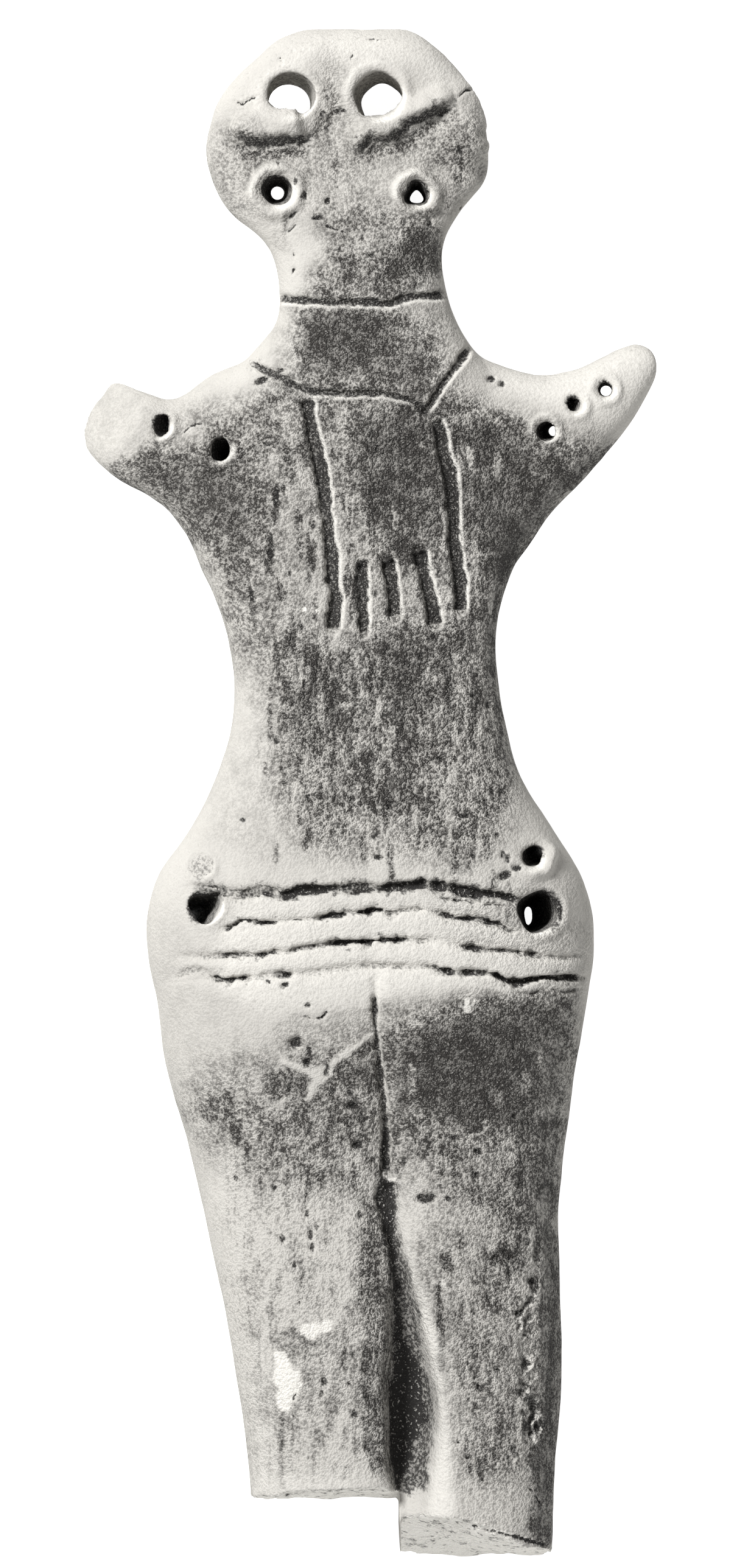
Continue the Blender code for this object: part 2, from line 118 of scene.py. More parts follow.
# Where the arms run into the body, and how far the join is smoothed in millimetres
armJoins = ((-92, 262, 7), (-100, 150, 9), (-104, 205, 7), (88, 270, 8), (92, 165, 9), (94, 215, 7))

# The hollow between the legs: place, its left rim, where its floor ends, where its right slope ends, depth
cleft = {
    "knots": (
        (-236, 9, 13, 15, 0.8), (-262, 10.5, 15, 18, 1.8), (-285, 13, 17, 23, 3.0), (-310, 14, 20, 29, 4.2),
        (-352, 13.5, 27, 40, 5.4), (-392, 11.5, 35, 47, 6.0), (-416, 12, 30, 49, 5.8),
        (-440, 15, 23, 51, 4.6), (-470, 15, 22, 52, 3.4), (-530, 15, 22, 52, 3.0),
    ),
    "wall": 3.0,
    "least": 0.001,  # the share of the depth from which it counts as cut
}

# Place at the front, where it comes out at the back from there, widths at the front and the back
holes = {
    "leftEye": ((-52, 454.5), (-1, -3), 5.2, 4.3),
    "rightEye": ((5, 454.5), (3, -3), 5.2, 4.4),
    "leftEar": ((-60.5, 392.5), (0, 2), 3.15, 1.25),
    "rightEar": ((30, 390.5), (0, 1), 2.7, 1.3),
    "leftShoulderOuter": ((-136, 240), (14, 4), 2.3, 1.1),
    "leftShoulderInner": ((-98, 225), (12, -8), 2.5, 1.1),
    "rightShoulderInner": ((114, 237), (6, 2), 2.1, 1.1),
    "rightShoulderMiddle": ((133, 254), (-13, 5), 1.9, 1.1),
    "rightShoulderOuter": ((152, 264), (2, 1), 1.9, 0.9),
    "leftHip": ((-106, -71), (-17, -10), 3.2, 1.5),
    "rightHip": ((108, -74), (-5, -4), 4.5, 2.1),
    "rightWaist": ((104, -39), (12, 6), 2.2, 1.4),
}
# How a hole is out of round: corners, how much, turn in degrees
holeCorners = {
    "rightEar": (3, 0.16, 90),
    "leftHip": (3, 0.16, 30),
    "rightHip": (4, 0.06, 20),
    "leftEye": (2, 0.03, 10),
    "leftShoulderOuter": (2, 0.16, 90),
    "leftShoulderInner": (2, 0.16, 85),
}
narrowed = {"rightHip": 0.68}  # how much slimmer than high a hole is where it comes out
piercing = {
    "corners": (5, 0.03, 15),  # of all other holes
    "sides": 40,
    "past": 2.0,  # how far the tool goes past both surfaces
    "flare": 1.2,
    "eye": 5,  # a hole from this width on is an eye
    "shade": 0.9,  # painted shade on the wall, and how much less of it where the wall faces the light
    "lightening": 0.4,
    "eyeShade": 0.45,
    "eyeLightening": 1.0,
}

# The middle of each break, how wide its block is, the way it faces, the height of its middle, its
# twist, and how bare, stained, rough and specked with soil it is
freshBreak = {"stainAndShade": 0.1, "rough": 0.7, "specks": 0.5}
breaks = {
    "stump": {
        "place": (-164, 242), "width": 110, "facing": (-0.68, 0.31, 0.66), "height": 7.5, "twist": 0.0,
        "bareAndHighlight": 0.0, "stainAndShade": 0.13, "rough": 0.0, "specks": 0.0,
    },
    "leftLeg": {
        "place": (-52, -454), "width": 140, "facing": (0.03, -1.0, 0.12), "height": 9.3, "twist": 0.0,
        "bareAndHighlight": 0.85, **freshBreak,
    },
    "rightLeg": {
        "place": (74, -485), "width": 112, "facing": (-0.14, -1.0, 0.26), "height": 9.3, "twist": 0.02,
        "bareAndHighlight": 0.95, **freshBreak,
    },
}
breakGrain = {
    "layers": ((3.0, 0.55), (0.9, 0.16)),  # size and depth in millimetres
    "cell": 0.5,
    "span": 31.0,
    "specks": 0.5,
    "facing": 0.72,  # how squarely a point has to face outward to lie on the break
}

# Where the stump's edge is worn round, and how far in millimetres
wornCorners = (((-163, 264), 4.5), ((-180, 222), 3.0))

modelling = {
    "firstVoxel": 0.5,
    "fineVoxel": 0.22,
    "smoothing": 0.5,  # how far a point goes towards its neighbours in a round
    "joinRounds": 26,
    "rimRounds": 3,
    "cornerRounds": 60,
    "evening": 0.4,
    "evenRounds": 2,
    "settling": 0.25,
    "triangles": 194000,
    "keepDetail": 0.005,  # how much rather plain places lose triangles than detailed ones
    "detailFrom": (0.04, 0.16),  # changes of paint that start to count as detail, and that count in full
    "detailSpread": 0.8,
    "detailShare": 0.85,
    "detailLevels": 10,
}


def share(thousandths):
    return np.asarray(thousandths, float) * idol["length"] / 1000


def through(knots):
    places, values = np.array(sorted(knots), float).T
    slopes = np.gradient(values, places)

    def curve(at):
        at = np.clip(at, places[0], places[-1])
        i = np.clip(np.searchsorted(places, at) - 1, 0, len(places) - 2)
        step = places[i + 1] - places[i]
        t = (at - places[i]) / step
        rise = (3 * t**2 - 2 * t**3) * (values[i + 1] - values[i])
        bend = (t**3 - 2 * t**2 + t) * slopes[i] + (t**3 - t**2) * slopes[i + 1]
        return values[i] + rise + bend * step

    return curve


def curveThrough(points, knots, at):
    return np.column_stack([through(zip(knots, column))(at) for column in points.T])


def smoothLine(points, spacing=0.5):
    points = share(points)
    travelled = np.concatenate([[0], np.cumsum(np.linalg.norm(np.diff(points, axis=0), axis=1))])
    at = np.linspace(0, travelled[-1], max(4, int(travelled[-1] / spacing) + 2))
    return curveThrough(points, travelled, at)


def smoothStep(low, high, value):
    t = np.clip((value - low) / (high - low), 0, 1)
    return t * t * (3 - 2 * t)


# A soft ridge along the places where the distance is nought
def crest(distance, width):
    return np.exp(-((distance / width) ** 2))


# Lattice noise from -1 to 1 over points given in cells, turned so that its grid doesn't show
latticeTurn = np.array([[0.80, 0.48, -0.36], [-0.60, 0.64, -0.48], [0.0, 0.60, 0.80]])


def grain(points, size, seed, squeeze=(1, 1, 1)):
    count = 32
    lattice = np.random.default_rng(seed).random((count, count, count))
    cells = (points * np.array(squeeze) / size) @ latticeTurn + 7.3 * seed
    whole = np.floor(cells).astype(int)
    part = cells - whole
    part = part * part * (3 - 2 * part)
    total = np.zeros(len(points))
    for corner in np.ndindex(2, 2, 2):
        i, j, k = ((whole + corner) % count).T
        weight = np.prod(np.where(corner, part, 1 - part), axis=1)
        total += weight * lattice[i, j, k]
    return 2 * total - 1


def clouds(points, size, seed, layers=3, squeeze=(1, 1, 1)):
    total = sum(0.55**n * grain(points, size / 2.1**n, seed + n, squeeze) for n in range(layers))
    return total / sum(0.55**n for n in range(layers))


leftEdge = through(idol["leftEdge"])
rightEdge = through(idol["rightEdge"])
middleLine = through(idol["middleLine"])
squareness = through(idol["squareness"])
legLobes = through(idol["legLobes"])
bodyLift = through([(along, lift) for along, lift, depth in idol["sideView"]])
bodyDepth = through([(along, depth) for along, lift, depth in idol["sideView"]])
cleftCurves = [through([(knot[0], knot[i]) for knot in cleft["knots"]]) for i in (1, 2, 3, 4)]


# How full the section is across it, from nought at its edges to one at the split
def bulge(across, split, square, lobes):
    u = np.where(across < split, (split - across) / split, (across - split) / (1 - split))
    u = np.clip(u, 0, 1)
    single = np.clip(1 - u**square, 0, 1) ** (1 / square)
    paired = np.clip(1 - np.abs(2 * u - 1) ** square, 0, 1) ** (1 / square)
    return single * (1 - lobes) + paired * lobes


def splitAt(along):
    left, right = leftEdge(along), rightEdge(along)
    return left, right, (middleLine(along) - left) / (right - left)


def bodyMiddle(along):
    return bodyLift(along) + bodyDepth(along) / 2


def bodyHalf(along):
    inside = np.clip(share(idol["crown"] - along) / (idol["headDepth"] / 2), 0, 1)
    return bodyDepth(along) / 2 * np.sqrt(1 - (1 - inside) ** 2)


def armHalf(across):
    out = np.clip((np.abs(across) - arms["start"]) / (arms["end"] - arms["start"]), 0, 1)
    return (arms["rootDepth"] + (arms["tipDepth"] - arms["rootDepth"]) * out**1.5) / 2


def surfaceHeight(across, along, side):
    left, right, split = splitAt(along)
    if not left < across < right:
        return arms["middle"] + side * armHalf(across)
    full = bulge((across - left) / (right - left), split, squareness(along), legLobes(along))
    return bodyMiddle(along) + side * bodyHalf(along) * full


def ring(a, b, columns, split, middle, half, square, lobes=0.0):
    fan = (1 - np.cos(np.linspace(0, np.pi, columns + 1))) / 2
    across = np.concatenate([split * fan, split + (1 - split) * fan[1:]])
    height = half * bulge(across, split, square, lobes)
    flat = np.outer(1 - across, a) + np.outer(across, b)
    top = np.column_stack([flat, middle + height])
    under = np.column_stack([flat, middle - height])[-2:0:-1]
    return np.vstack([top, under])


def carveCleft(points, along):
    if along > cleft["knots"][0][0]:
        return points
    leftRim, floorEnd, slopeEnd, depth = (curve(along) for curve in cleftCurves)
    across = points[:, 0] * 1000 / idol["length"]
    wall = smoothStep(leftRim - cleft["wall"], leftRim + 1, across)
    cut = wall * (1 - smoothStep(floorEnd, slopeEnd, across))
    middle = bodyMiddle(along)
    isCut = (points[:, 2] > middle) & (cut >= cleft["least"])
    floorHeight = middle + bodyHalf(along) - depth * cut
    points[:, 2] = np.where(isCut, np.minimum(points[:, 2], floorHeight), points[:, 2])
    return points


def loft(mesh, rings):
    rows = [[mesh.verts.new(point) for point in points] for points in rings]
    count = len(rows[0])
    for near, far in zip(rows, rows[1:]):
        for i in range(count):
            j = (i + 1) % count
            mesh.faces.new((near[i], near[j], far[j], far[i]))
    mesh.faces.new(rows[0])
    mesh.faces.new(reversed(rows[-1]))


def bodyRings():
    rim = idol["headDepth"] / 2 * 1000 / idol["length"]
    crown = idol["crown"]
    alongs = [crown - rim * (1 - np.cos(np.radians(turn))) for turn in idol["crownTurns"]]
    rows = int(share(crown - rim - idol["lowest"]) / idol["rowSpacing"])
    alongs += list(np.linspace(crown - rim, idol["lowest"], rows))
    for along in alongs:
        left, right, split = splitAt(along)
        points = ring(
            share((left, along)), share((right, along)), idol["columns"], split,
            bodyMiddle(along), bodyHalf(along), squareness(along), legLobes(along),
        )
        yield carveCleft(points, along)


def armRings(top, under):
    knots = np.arange(len(top))
    steps = np.linspace(0, len(top) - 1, arms["rows"])
    tops, unders = (curveThrough(np.array(edge, float), knots, steps) for edge in (top, under))
    for a, b in zip(tops, unders):
        half = armHalf((a[0] + b[0]) / 2)
        yield ring(share(a), share(b), idol["columns"] // 2, 0.5, arms["middle"], half, arms["squareness"])


def newObject(name, mesh):
    bmesh.ops.recalc_face_normals(mesh, faces=mesh.faces)
    data = bpy.data.meshes.new(name)
    mesh.to_mesh(data)
    mesh.free()
    made = bpy.data.objects.new(name, data)
    bpy.context.scene.collection.objects.link(made)
    return made


def applied(made):
    graph = bpy.context.evaluated_depsgraph_get()
    data = bpy.data.meshes.new_from_object(made.evaluated_get(graph))
    made.modifiers.clear()
    old = made.data
    made.data = data
    bpy.data.meshes.remove(old)
    return made


def remeshed(made, voxel):
    remesh = made.modifiers.new("even clay", "REMESH")
    remesh.mode = "VOXEL"
    remesh.voxel_size = voxel
    return applied(made)


def read(items, name, width, kind=np.float32):
    values = np.empty(len(items) * width, kind)
    items.foreach_get(name, values)
    return values.reshape(-1, width)


def readPoints(made):
    return read(made.data.vertices, "co", 3).astype(float)


def readNormals(made):
    return read(made.data.vertex_normals, "vector", 3).astype(float)


def readEdges(made):
    return read(made.data.edges, "vertices", 2, np.int32)


def writePoints(made, points):
    made.data.vertices.foreach_set("co", points.astype(np.float32).ravel())
    made.data.update()


# Smooths each point towards its neighbours, as far as its amount says
def relax(points, edges, amount, rounds):
    count = len(points)
    amount = np.broadcast_to(amount, count)[:, None]
    neighbours = np.bincount(edges.ravel(), minlength=count)[:, None]
    a, b = edges.T
    for _ in range(rounds):
        total = np.column_stack([
            np.bincount(a, column[b], count) + np.bincount(b, column[a], count) for column in points.T
        ])
        points = points + amount * (total / neighbours - points)
    return points


def holeEnds(place, lean):
    behind = (place[0] + lean[0], place[1] + lean[1])
    start = np.array([*share(place), surfaceHeight(*place, front)])
    end = np.array([*share(behind), surfaceHeight(*behind, back)])
    return start, end


def holeCutter(name, place, lean, mouth, exitWidth):
    start, end = holeEnds(place, lean)
    length = np.linalg.norm(start - end)
    axis = (start - end) / length
    side = np.cross(axis, (0, 1, 0))
    side /= np.linalg.norm(side)
    up = np.cross(side, axis)
    corners, depth, turn = holeCorners.get(name, piercing["corners"])
    angles = np.linspace(0, 2 * np.pi, piercing["sides"], endpoint=False)
    uneven = 1 + depth * np.cos(corners * (angles - np.radians(turn)))
    past = piercing["past"]
    rings = []
    for at in (-past, 0.0, length / 3, length * 2 / 3, length, length + past):
        opening = np.clip(at / length, 0, 1)
        radius = (exitWidth + (mouth - exitWidth) * opening ** piercing["flare"]) / 2
        slim = 1 - narrowed.get(name, 0) * (1 - opening)
        offsets = np.outer(np.cos(angles) * uneven * slim, side) + np.outer(np.sin(angles) * uneven, up)
        rings.append(end + axis * at + radius * offsets)
    mesh = bmesh.new()
    loft(mesh, rings)
    return newObject("cut " + name, mesh)


def breakCutter(name, broken):
    span = breakGrain["span"]
    outward = Vector(broken["facing"]).normalized()
    sideways = Vector((-outward.y, outward.x, 0)).normalized()
    turn = Matrix((sideways, outward.cross(sideways), outward)).transposed().to_4x4()
    mesh = bmesh.new()
    cells = int(span / breakGrain["cell"])
    bmesh.ops.create_grid(mesh, x_segments=cells, y_segments=cells, size=0.5)
    mesh.transform(Matrix.Diagonal((share(broken["width"]), span, 1, 1)))
    spots = np.array([vert.co for vert in mesh.verts])
    rise = sum(depth * clouds(spots, size, 11, 2) for size, depth in breakGrain["layers"])
    for vert, bump in zip(mesh.verts, rise):
        vert.co.z = bump + broken["twist"] * vert.co.x * vert.co.y
    grown = bmesh.ops.extrude_face_region(mesh, geom=mesh.faces[:])["geom"]
    for item in grown:
        if isinstance(item, bmesh.types.BMVert):
            item.co.z = span
    mesh.transform(Matrix.Translation((*share(broken["place"]), broken["height"])) @ turn)
    return newObject("cut " + name, mesh)


def cutAway(made, cutters):
    for cutter in cutters:
        cut = made.modifiers.new(cutter.name, "BOOLEAN")
        cut.operation = "DIFFERENCE"
        cut.object = cutter
        cut.solver = "MANIFOLD"
    applied(made)
    for cutter in cutters:
        bpy.data.objects.remove(cutter)


def distanceTo(place, points):
    return np.hypot(*(points[:, :2] - share(place)).T)


def modelLump():
    mesh = bmesh.new()
    loft(mesh, bodyRings())
    loft(mesh, armRings(arms["rightTop"], arms["rightUnder"]))
    loft(mesh, armRings(arms["leftTop"], arms["leftUnder"]))
    lump = remeshed(newObject("idol_clay", mesh), modelling["firstVoxel"])
    points, edges = readPoints(lump), readEdges(lump)
    joins = np.zeros(len(points))
    for across, along, reach in armJoins:
        joins = np.maximum(joins, 1 - smoothStep(reach * 0.4, reach, distanceTo((across, along), points)))
    points = relax(points, edges, modelling["smoothing"] * joins, modelling["joinRounds"])
    points = relax(points, edges, modelling["evening"], modelling["evenRounds"])
    writePoints(lump, points)
    print("lump modelled:", len(points), "points")
    return lump


# Rounds a worn corner: only the points around it are smoothed
def wearCorner(points, edges, place, reach):
    near = distanceTo(place, points) < reach
    renumbered = np.cumsum(near) - 1
    inside = edges[near[edges].all(axis=1)]
    chosen = points[near]
    fade = 1 - smoothStep(reach * 0.5, reach * 0.95, distanceTo(place, chosen))
    points[near] = relax(chosen, renumbered[inside], modelling["smoothing"] * fade, modelling["cornerRounds"])


def pierceAndBreak(lump):
    cutters = [holeCutter(name, *numbers) for name, numbers in holes.items()]
    cutters += [breakCutter(name, broken) for name, broken in breaks.items()]
    cutAway(lump, cutters)
    remeshed(lump, modelling["fineVoxel"])
    points, edges = readPoints(lump), readEdges(lump)
    points = relax(points, edges, modelling["smoothing"], modelling["rimRounds"])
    for place, reach in wornCorners:
        wearCorner(points, edges, place, reach)
    writePoints(lump, points)
    print("pierced and broken:", len(points), "points")


# A face is one side as arrays: where its points lie, how far each feature lifts them,
# and how dark with soil and painted shade, how freshly bared and lit by painted highlights,
# how stained and darkened by painted shade, and how rough the clay is there
def newFace(points, normals):
    layers = {name: np.zeros(len(points)) for name in ("height", *layerNames)}
    return {"at": points[:, :2], "points": points, "normals": normals, **layers}


def flatSpots(face, near):
    return np.column_stack([face["at"][near], np.zeros(len(near))])


def atLeast(face, name, near, value):
    face[name][near] = np.maximum(face[name][near], value)


# How far from a to b the place nearest to each point lies, and the way from there to the point
def fromSegment(points, a, b):
    t = np.clip(((points - a) @ (b - a)) / ((b - a) @ (b - a)), 0, 1)
    return t, points - a - t[:, None] * (b - a)


def nearLine(face, line, reach):
    route = smoothLine(line)
    low, high = route.min(0) - reach, route.max(0) + reach
    near = np.flatnonzero(np.all((face["at"] > low) & (face["at"] < high), axis=1))
    gap = np.full(len(near), np.inf)
    offset = np.zeros((len(near), 2))
    travelled = np.zeros(len(near))
    steps = len(route) - 1
    for i, (a, b) in enumerate(zip(route, route[1:])):
        t, away = fromSegment(face["at"][near], a, b)
        distance = np.hypot(*away.T)
        closer = distance < gap
        gap[closer] = distance[closer]
        offset[closer] = away[closer]
        travelled[closer] = (i + t[closer]) / steps
    keep = gap < reach
    direction = offset[keep] / np.maximum(gap[keep], 1e-6)[:, None]
    return near[keep], gap[keep], direction, travelled[keep]


# Lays what a feature changes over the face: a stain, and painted shade alike, darkens what is there, or
# lightens it if negative
def lay(face, near, inside, height=0.0, soilAndShade=0.0, bareAndHighlight=0.0, stainAndShade=0.0):
    face["height"][near] += height * inside
    atLeast(face, "soilAndShade", near, soilAndShade * inside)
    atLeast(face, "bareAndHighlight", near, bareAndHighlight * inside)
    if stainAndShade > 0:
        face["stainAndShade"][near] += (1 - face["stainAndShade"][near]) * stainAndShade * inside
    else:
        face["stainAndShade"][near] *= 1 + stainAndShade * inside


# What the tool leaves: the size in millimetres, the amount and the seed of each unevenness of a line
toolMarks = {
    "width": (1.6, 0.22, 0),
    "edge": (0.55, 1.0, 3),
    "wave": (1.3, 0.6, 5),
    "floor": (0.7, 0.18, 9),
    "depth": (1.1, 0.5, 7),
    "gaps": (1.7, 1.0, 11),
}
groove = {
    "lit": (-0.2, 0.6),  # from where to where a wall turns into the light
    "deepest": 1.3,
    "endDepth": 0.35,
    "lipOut": 0.12,
    "lipWidth": 0.26,
    "shadedLip": 0.2,
    "litWallHighlightIn": 0.45,  # of the lit wall's width, inside its edge
    "litWallHighlightWidth": 0.24,
    "litWallStainLifted": 0.7,
    "crumbSize": 0.75,
    "crumbReach": (0.1, 0.7),
    "crumbDepth": 0.2,
    "crumbSoil": 0.85,
}


# An incised line: its wall towards the light is steep and in shade, and the other is lit, with a lip.
# Its floor is painted dark with soil and painted shade, and its lit wall with a painted highlight.
# Its width may be one or two numbers, for its ends. Strength says how deep it is cut at places across.
def incise(
    face, line, width, depth, lip=0.10, ragged=0.07, wall=0.40, shade=0.20,
    strength=None, seed=1, soilAndShade=0.6, bareAndHighlight=0.6, ends=0.8, crumbs=0.0, broken=0.0,
):
    near, gap, direction, travelled = nearLine(face, line, np.max(width) * 1.5 + 1.2)
    spots = flatSpots(face, near)

    def uneven(name):
        size, amount, turn = toolMarks[name]
        return amount * grain(spots, size, seed + turn)

    half = np.interp(travelled, (0, 1), np.broadcast_to(width, 2)) / 2 * (1 + uneven("width"))
    gap = gap + ragged * uneven("edge") + ragged * uneven("wave")
    lit = smoothStep(*groove["lit"], direction @ awayFromLight)
    slope = np.minimum(shade + (wall - shade) * lit, half)
    hollow = smoothStep(0, 1, (half - gap) / slope) * (1 - np.clip(uneven("floor"), 0, 1))
    cutting = np.ones(len(near))
    if strength is not None:
        places, amounts = np.array(strength, float).T
        cutting = np.interp(face["at"][near, 0], share(places), amounts)
        cutting = np.clip(cutting * (1 + uneven("depth")), 0, groove["deepest"])
    cutting *= 1 - broken * smoothStep(-0.2, 0.2, uneven("gaps"))
    length = np.linalg.norm(np.diff(smoothLine(line), axis=0), axis=1).sum()
    fromEnd = np.minimum(travelled, 1 - travelled) * length
    cutting = cutting * (groove["endDepth"] + (1 - groove["endDepth"]) * smoothStep(0, ends, fromEnd))
    clear = np.clip(cutting, 0, 1)
    lipHere = crest(gap - half - groove["lipOut"], groove["lipWidth"]) * cutting
    lipHere *= groove["shadedLip"] + (1 - groove["shadedLip"]) * lit
    face["height"][near] += lip * lipHere - depth * hollow * cutting
    # soil and painted shade on the floor of the cut
    atLeast(face, "soilAndShade", near, soilAndShade * smoothStep(0.35, 0.95, hollow) * clear)
    # painted highlight on the wall that faces the light, where the stain is lifted too
    edge = crest(gap - half + groove["litWallHighlightIn"] * slope, groove["litWallHighlightWidth"]) * lit * cutting
    atLeast(face, "bareAndHighlight", near, bareAndHighlight * edge)
    face["stainAndShade"][near] *= 1 - groove["litWallStainLifted"] * np.clip(edge, 0, 1)
    if crumbs:
        fromEdge = smoothStep(*groove["crumbReach"], gap - half)
        crumbled = smoothStep(0.16, 0.30, clouds(spots, groove["crumbSize"], seed + 13, 2))
        crumbled *= crumbs * (1 - fromEdge) * clear
        face["height"][near] -= groove["crumbDepth"] * crumbled
        atLeast(face, "soilAndShade", near, groove["crumbSoil"] * crumbled)


# A roll of clay pressed on: it rises slowly on the side towards the light and drops on the other.
# Its crest gets a painted highlight, and its foot away from the light gets painted shade
def roll(face, line, rise, drop, height, stainAndShade, seed, bareAndHighlight=0.1):
    near, gap, direction, travelled = nearLine(face, line, max(rise, drop) * 1.6)
    spots = flatSpots(face, near)
    side = direction @ awayFromLight
    half = rise + (drop - rise) * smoothStep(-0.45, 0.45, side)
    half = half * (1 + 0.14 * grain(spots, 2.2, seed))
    full = (1 + np.cos(np.pi * np.clip(gap / half, 0, 1))) / 2
    fade = smoothStep(-0.04, 0.16, travelled) * smoothStep(-0.04, 0.14, 1 - travelled)
    shaded = smoothStep(0.1, 0.8, side) * crest(gap - half * 0.8, 0.5 * half)
    uneven = 1 + 0.25 * grain(spots, 1.6, seed + 1)
    face["height"][near] += fade * uneven * (height * full - 0.12 * height * shaded)
    # painted highlight on the crest, painted shade at the foot away from the light
    atLeast(face, "bareAndHighlight", near, bareAndHighlight * fade * full * (1 - shaded))
    lay(face, near, np.clip(fade * uneven * shaded, 0, 1), stainAndShade=stainAndShade)


# Clay pushed up around a pierced hole, more on the side away from the light, with painted highlights
# on its slopes that face the light
def rim(face, place, radius, width, height, even, bareAndHighlight=0.8, seed=4):
    near = np.flatnonzero(distanceTo(place, face["at"]) < radius + 3 * width)
    offset = face["at"][near] - share(place)
    fromMiddle = np.hypot(*offset.T)
    spots = flatSpots(face, near)
    gap = fromMiddle + 0.14 * grain(spots, 1.2, seed)
    side = (offset @ awayFromLight) / np.maximum(fromMiddle, 1e-6)
    raised = crest(gap - radius - 0.55 * width, 0.40 * width)
    raised *= (even + (1 - even) * smoothStep(-0.5, 0.7, side)) * (1 + 0.3 * grain(spots, 1.0, seed + 1))
    face["height"][near] += height * raised
    # painted highlights where the rim's slopes face the light
    innerHighlight = crest(gap - radius - 0.10 * width, 0.28 * width) * smoothStep(0.1, 0.8, side)
    outer = crest(gap - radius - 0.75 * width, 0.35 * width) * smoothStep(0.1, 0.8, -side) * even
    atLeast(face, "bareAndHighlight", near, bareAndHighlight * np.maximum(innerHighlight, 0.7 * outer))


# An uneven round patch: a pit, a mound, a knock or a blot
def patch(face, place, reach, turn=0.0, height=0.0, soilAndShade=0.0, stainAndShade=0.0, edge=0.3, uneven=0.25, seed=5):
    near = np.flatnonzero(distanceTo(place, face["at"]) < 1.8 * max(reach))
    x, y = (face["at"][near] - share(place)).T
    cos, sin = np.cos(np.radians(turn)), np.sin(np.radians(turn))
    fromMiddle = np.hypot((x * cos + y * sin) / reach[0], (y * cos - x * sin) / reach[1])
    size = max(0.5, 0.7 * min(reach))
    gap = fromMiddle + uneven * clouds(flatSpots(face, near), size, seed, 3)
    lay(face, near, 1 - smoothStep(1 - edge, 1 + edge, gap), height, soilAndShade, stainAndShade=stainAndShade)


# An outlined patch with a soft or ragged edge: a flake, a worn plane or an old stain
def plate(face, outline, blur, height=0.0, soilAndShade=0.0, bareAndHighlight=0.0, stainAndShade=0.0, ragged=0.25, seed=7):
    corners = share(outline)
    reach = blur + 2 * ragged
    isNear = np.all((face["at"] > corners.min(0) - reach) & (face["at"] < corners.max(0) + reach), axis=1)
    near = np.flatnonzero(isNear)
    spots = flatSpots(face, near)
    size = max(0.8, 2.2 * ragged)
    shift = [clouds(spots, size, seed + turn, 4) for turn in (0, 20)]
    at = face["at"][near] + 1.8 * ragged * np.column_stack(shift)
    gap = np.full(len(near), np.inf)
    crossings = np.zeros(len(near), int)
    for a, b in zip(corners, np.roll(corners, -1, axis=0)):
        t, away = fromSegment(at, a, b)
        gap = np.minimum(gap, np.hypot(*away.T))
        spans = (a[1] > at[:, 1]) != (b[1] > at[:, 1])
        rise = b[1] - a[1] if b[1] != a[1] else 1.0
        crossings += spans & (at[:, 0] < a[0] + (at[:, 1] - a[1]) * (b[0] - a[0]) / rise)
    signed = np.where(crossings % 2 == 1, gap, -gap)
    lay(face, near, smoothStep(-blur, blur, signed), height, soilAndShade, bareAndHighlight, stainAndShade)


# A thin trace of soil that ran down or filled a scratch, with no relief
def trace(face, line, width, stainAndShade, seed):
    near, gap, direction, travelled = nearLine(face, line, width + 1.0)
    spots = flatSpots(face, near)
    half = width / 2 * (1 + 0.6 * grain(spots, 1.4, seed)) * (1 - (2 * travelled - 1) ** 4)
    gap = gap + 0.12 * clouds(spots, 0.6, seed + 3, 2)
    lay(face, near, 1 - smoothStep(0.6 * half - 0.05, 1.2 * half + 0.08, gap), stainAndShade=stainAndShade)


# How each kind of line is cut, as incise takes it
cuts = {
    # painted shade in the steps under the ridges, dark with the soil colour
    "ridgeShade": dict(
        lip=0, ragged=0.34, wall=0.6, shade=0.35, soilAndShade=0.77, bareAndHighlight=0, ends=1.6, crumbs=0.6, broken=0.05,
    ),
    "neck": dict(width=1.15, depth=0.5, wall=0.45, lip=0.08, soilAndShade=0.8, bareAndHighlight=0.5, crumbs=0.4),
    "collar": dict(width=1.05, depth=0.55, lip=0.08, ragged=0.14, soilAndShade=0.75, bareAndHighlight=0.55, crumbs=0.5),
    "collarRise": dict(width=1.05, depth=0.55, lip=0.08, ragged=0.1, soilAndShade=0.75, bareAndHighlight=0.5, crumbs=0.4),
    "stroke": dict(
        width=1.7, depth=0.95, wall=0.36, shade=0.22, lip=0.05, ragged=0.09, soilAndShade=0.8, bareAndHighlight=0.75,
        ends=0.05, crumbs=0.45,
    ),
    "furrow": dict(width=2.2, depth=0.24, lip=0, ragged=0.2, wall=1.0, shade=1.0, soilAndShade=0, bareAndHighlight=0, ends=3),
    "belt": dict(depth=0.8, lip=0.05, ragged=0.14, wall=0.22, shade=0.16, soilAndShade=1.0, bareAndHighlight=0.25, crumbs=0.7),
    "legLine": dict(lip=0.03, ragged=0.13, wall=0.26, ends=0.5, broken=0.1),
    "flakedEdge": dict(
        depth=0.35, lip=0.15, ragged=0.45, wall=0.35, shade=0.15, soilAndShade=0.7, bareAndHighlight=0.7, ends=0.4,
        crumbs=0.9, broken=0.7,
    ),
    "crack": dict(
        width=0.26, depth=0.3, lip=0, ragged=0.12, wall=0.14, shade=0.1, soilAndShade=0.95, bareAndHighlight=0, ends=0.3,
    ),
    "breakEdge": dict(width=0.6, depth=0.3, lip=0, ragged=0.14, wall=0.25, shade=0.12, bareAndHighlight=0, ends=0.4),
    "backLine": dict(width=0.9, depth=0.5, lip=0.12, ragged=0.14),
}

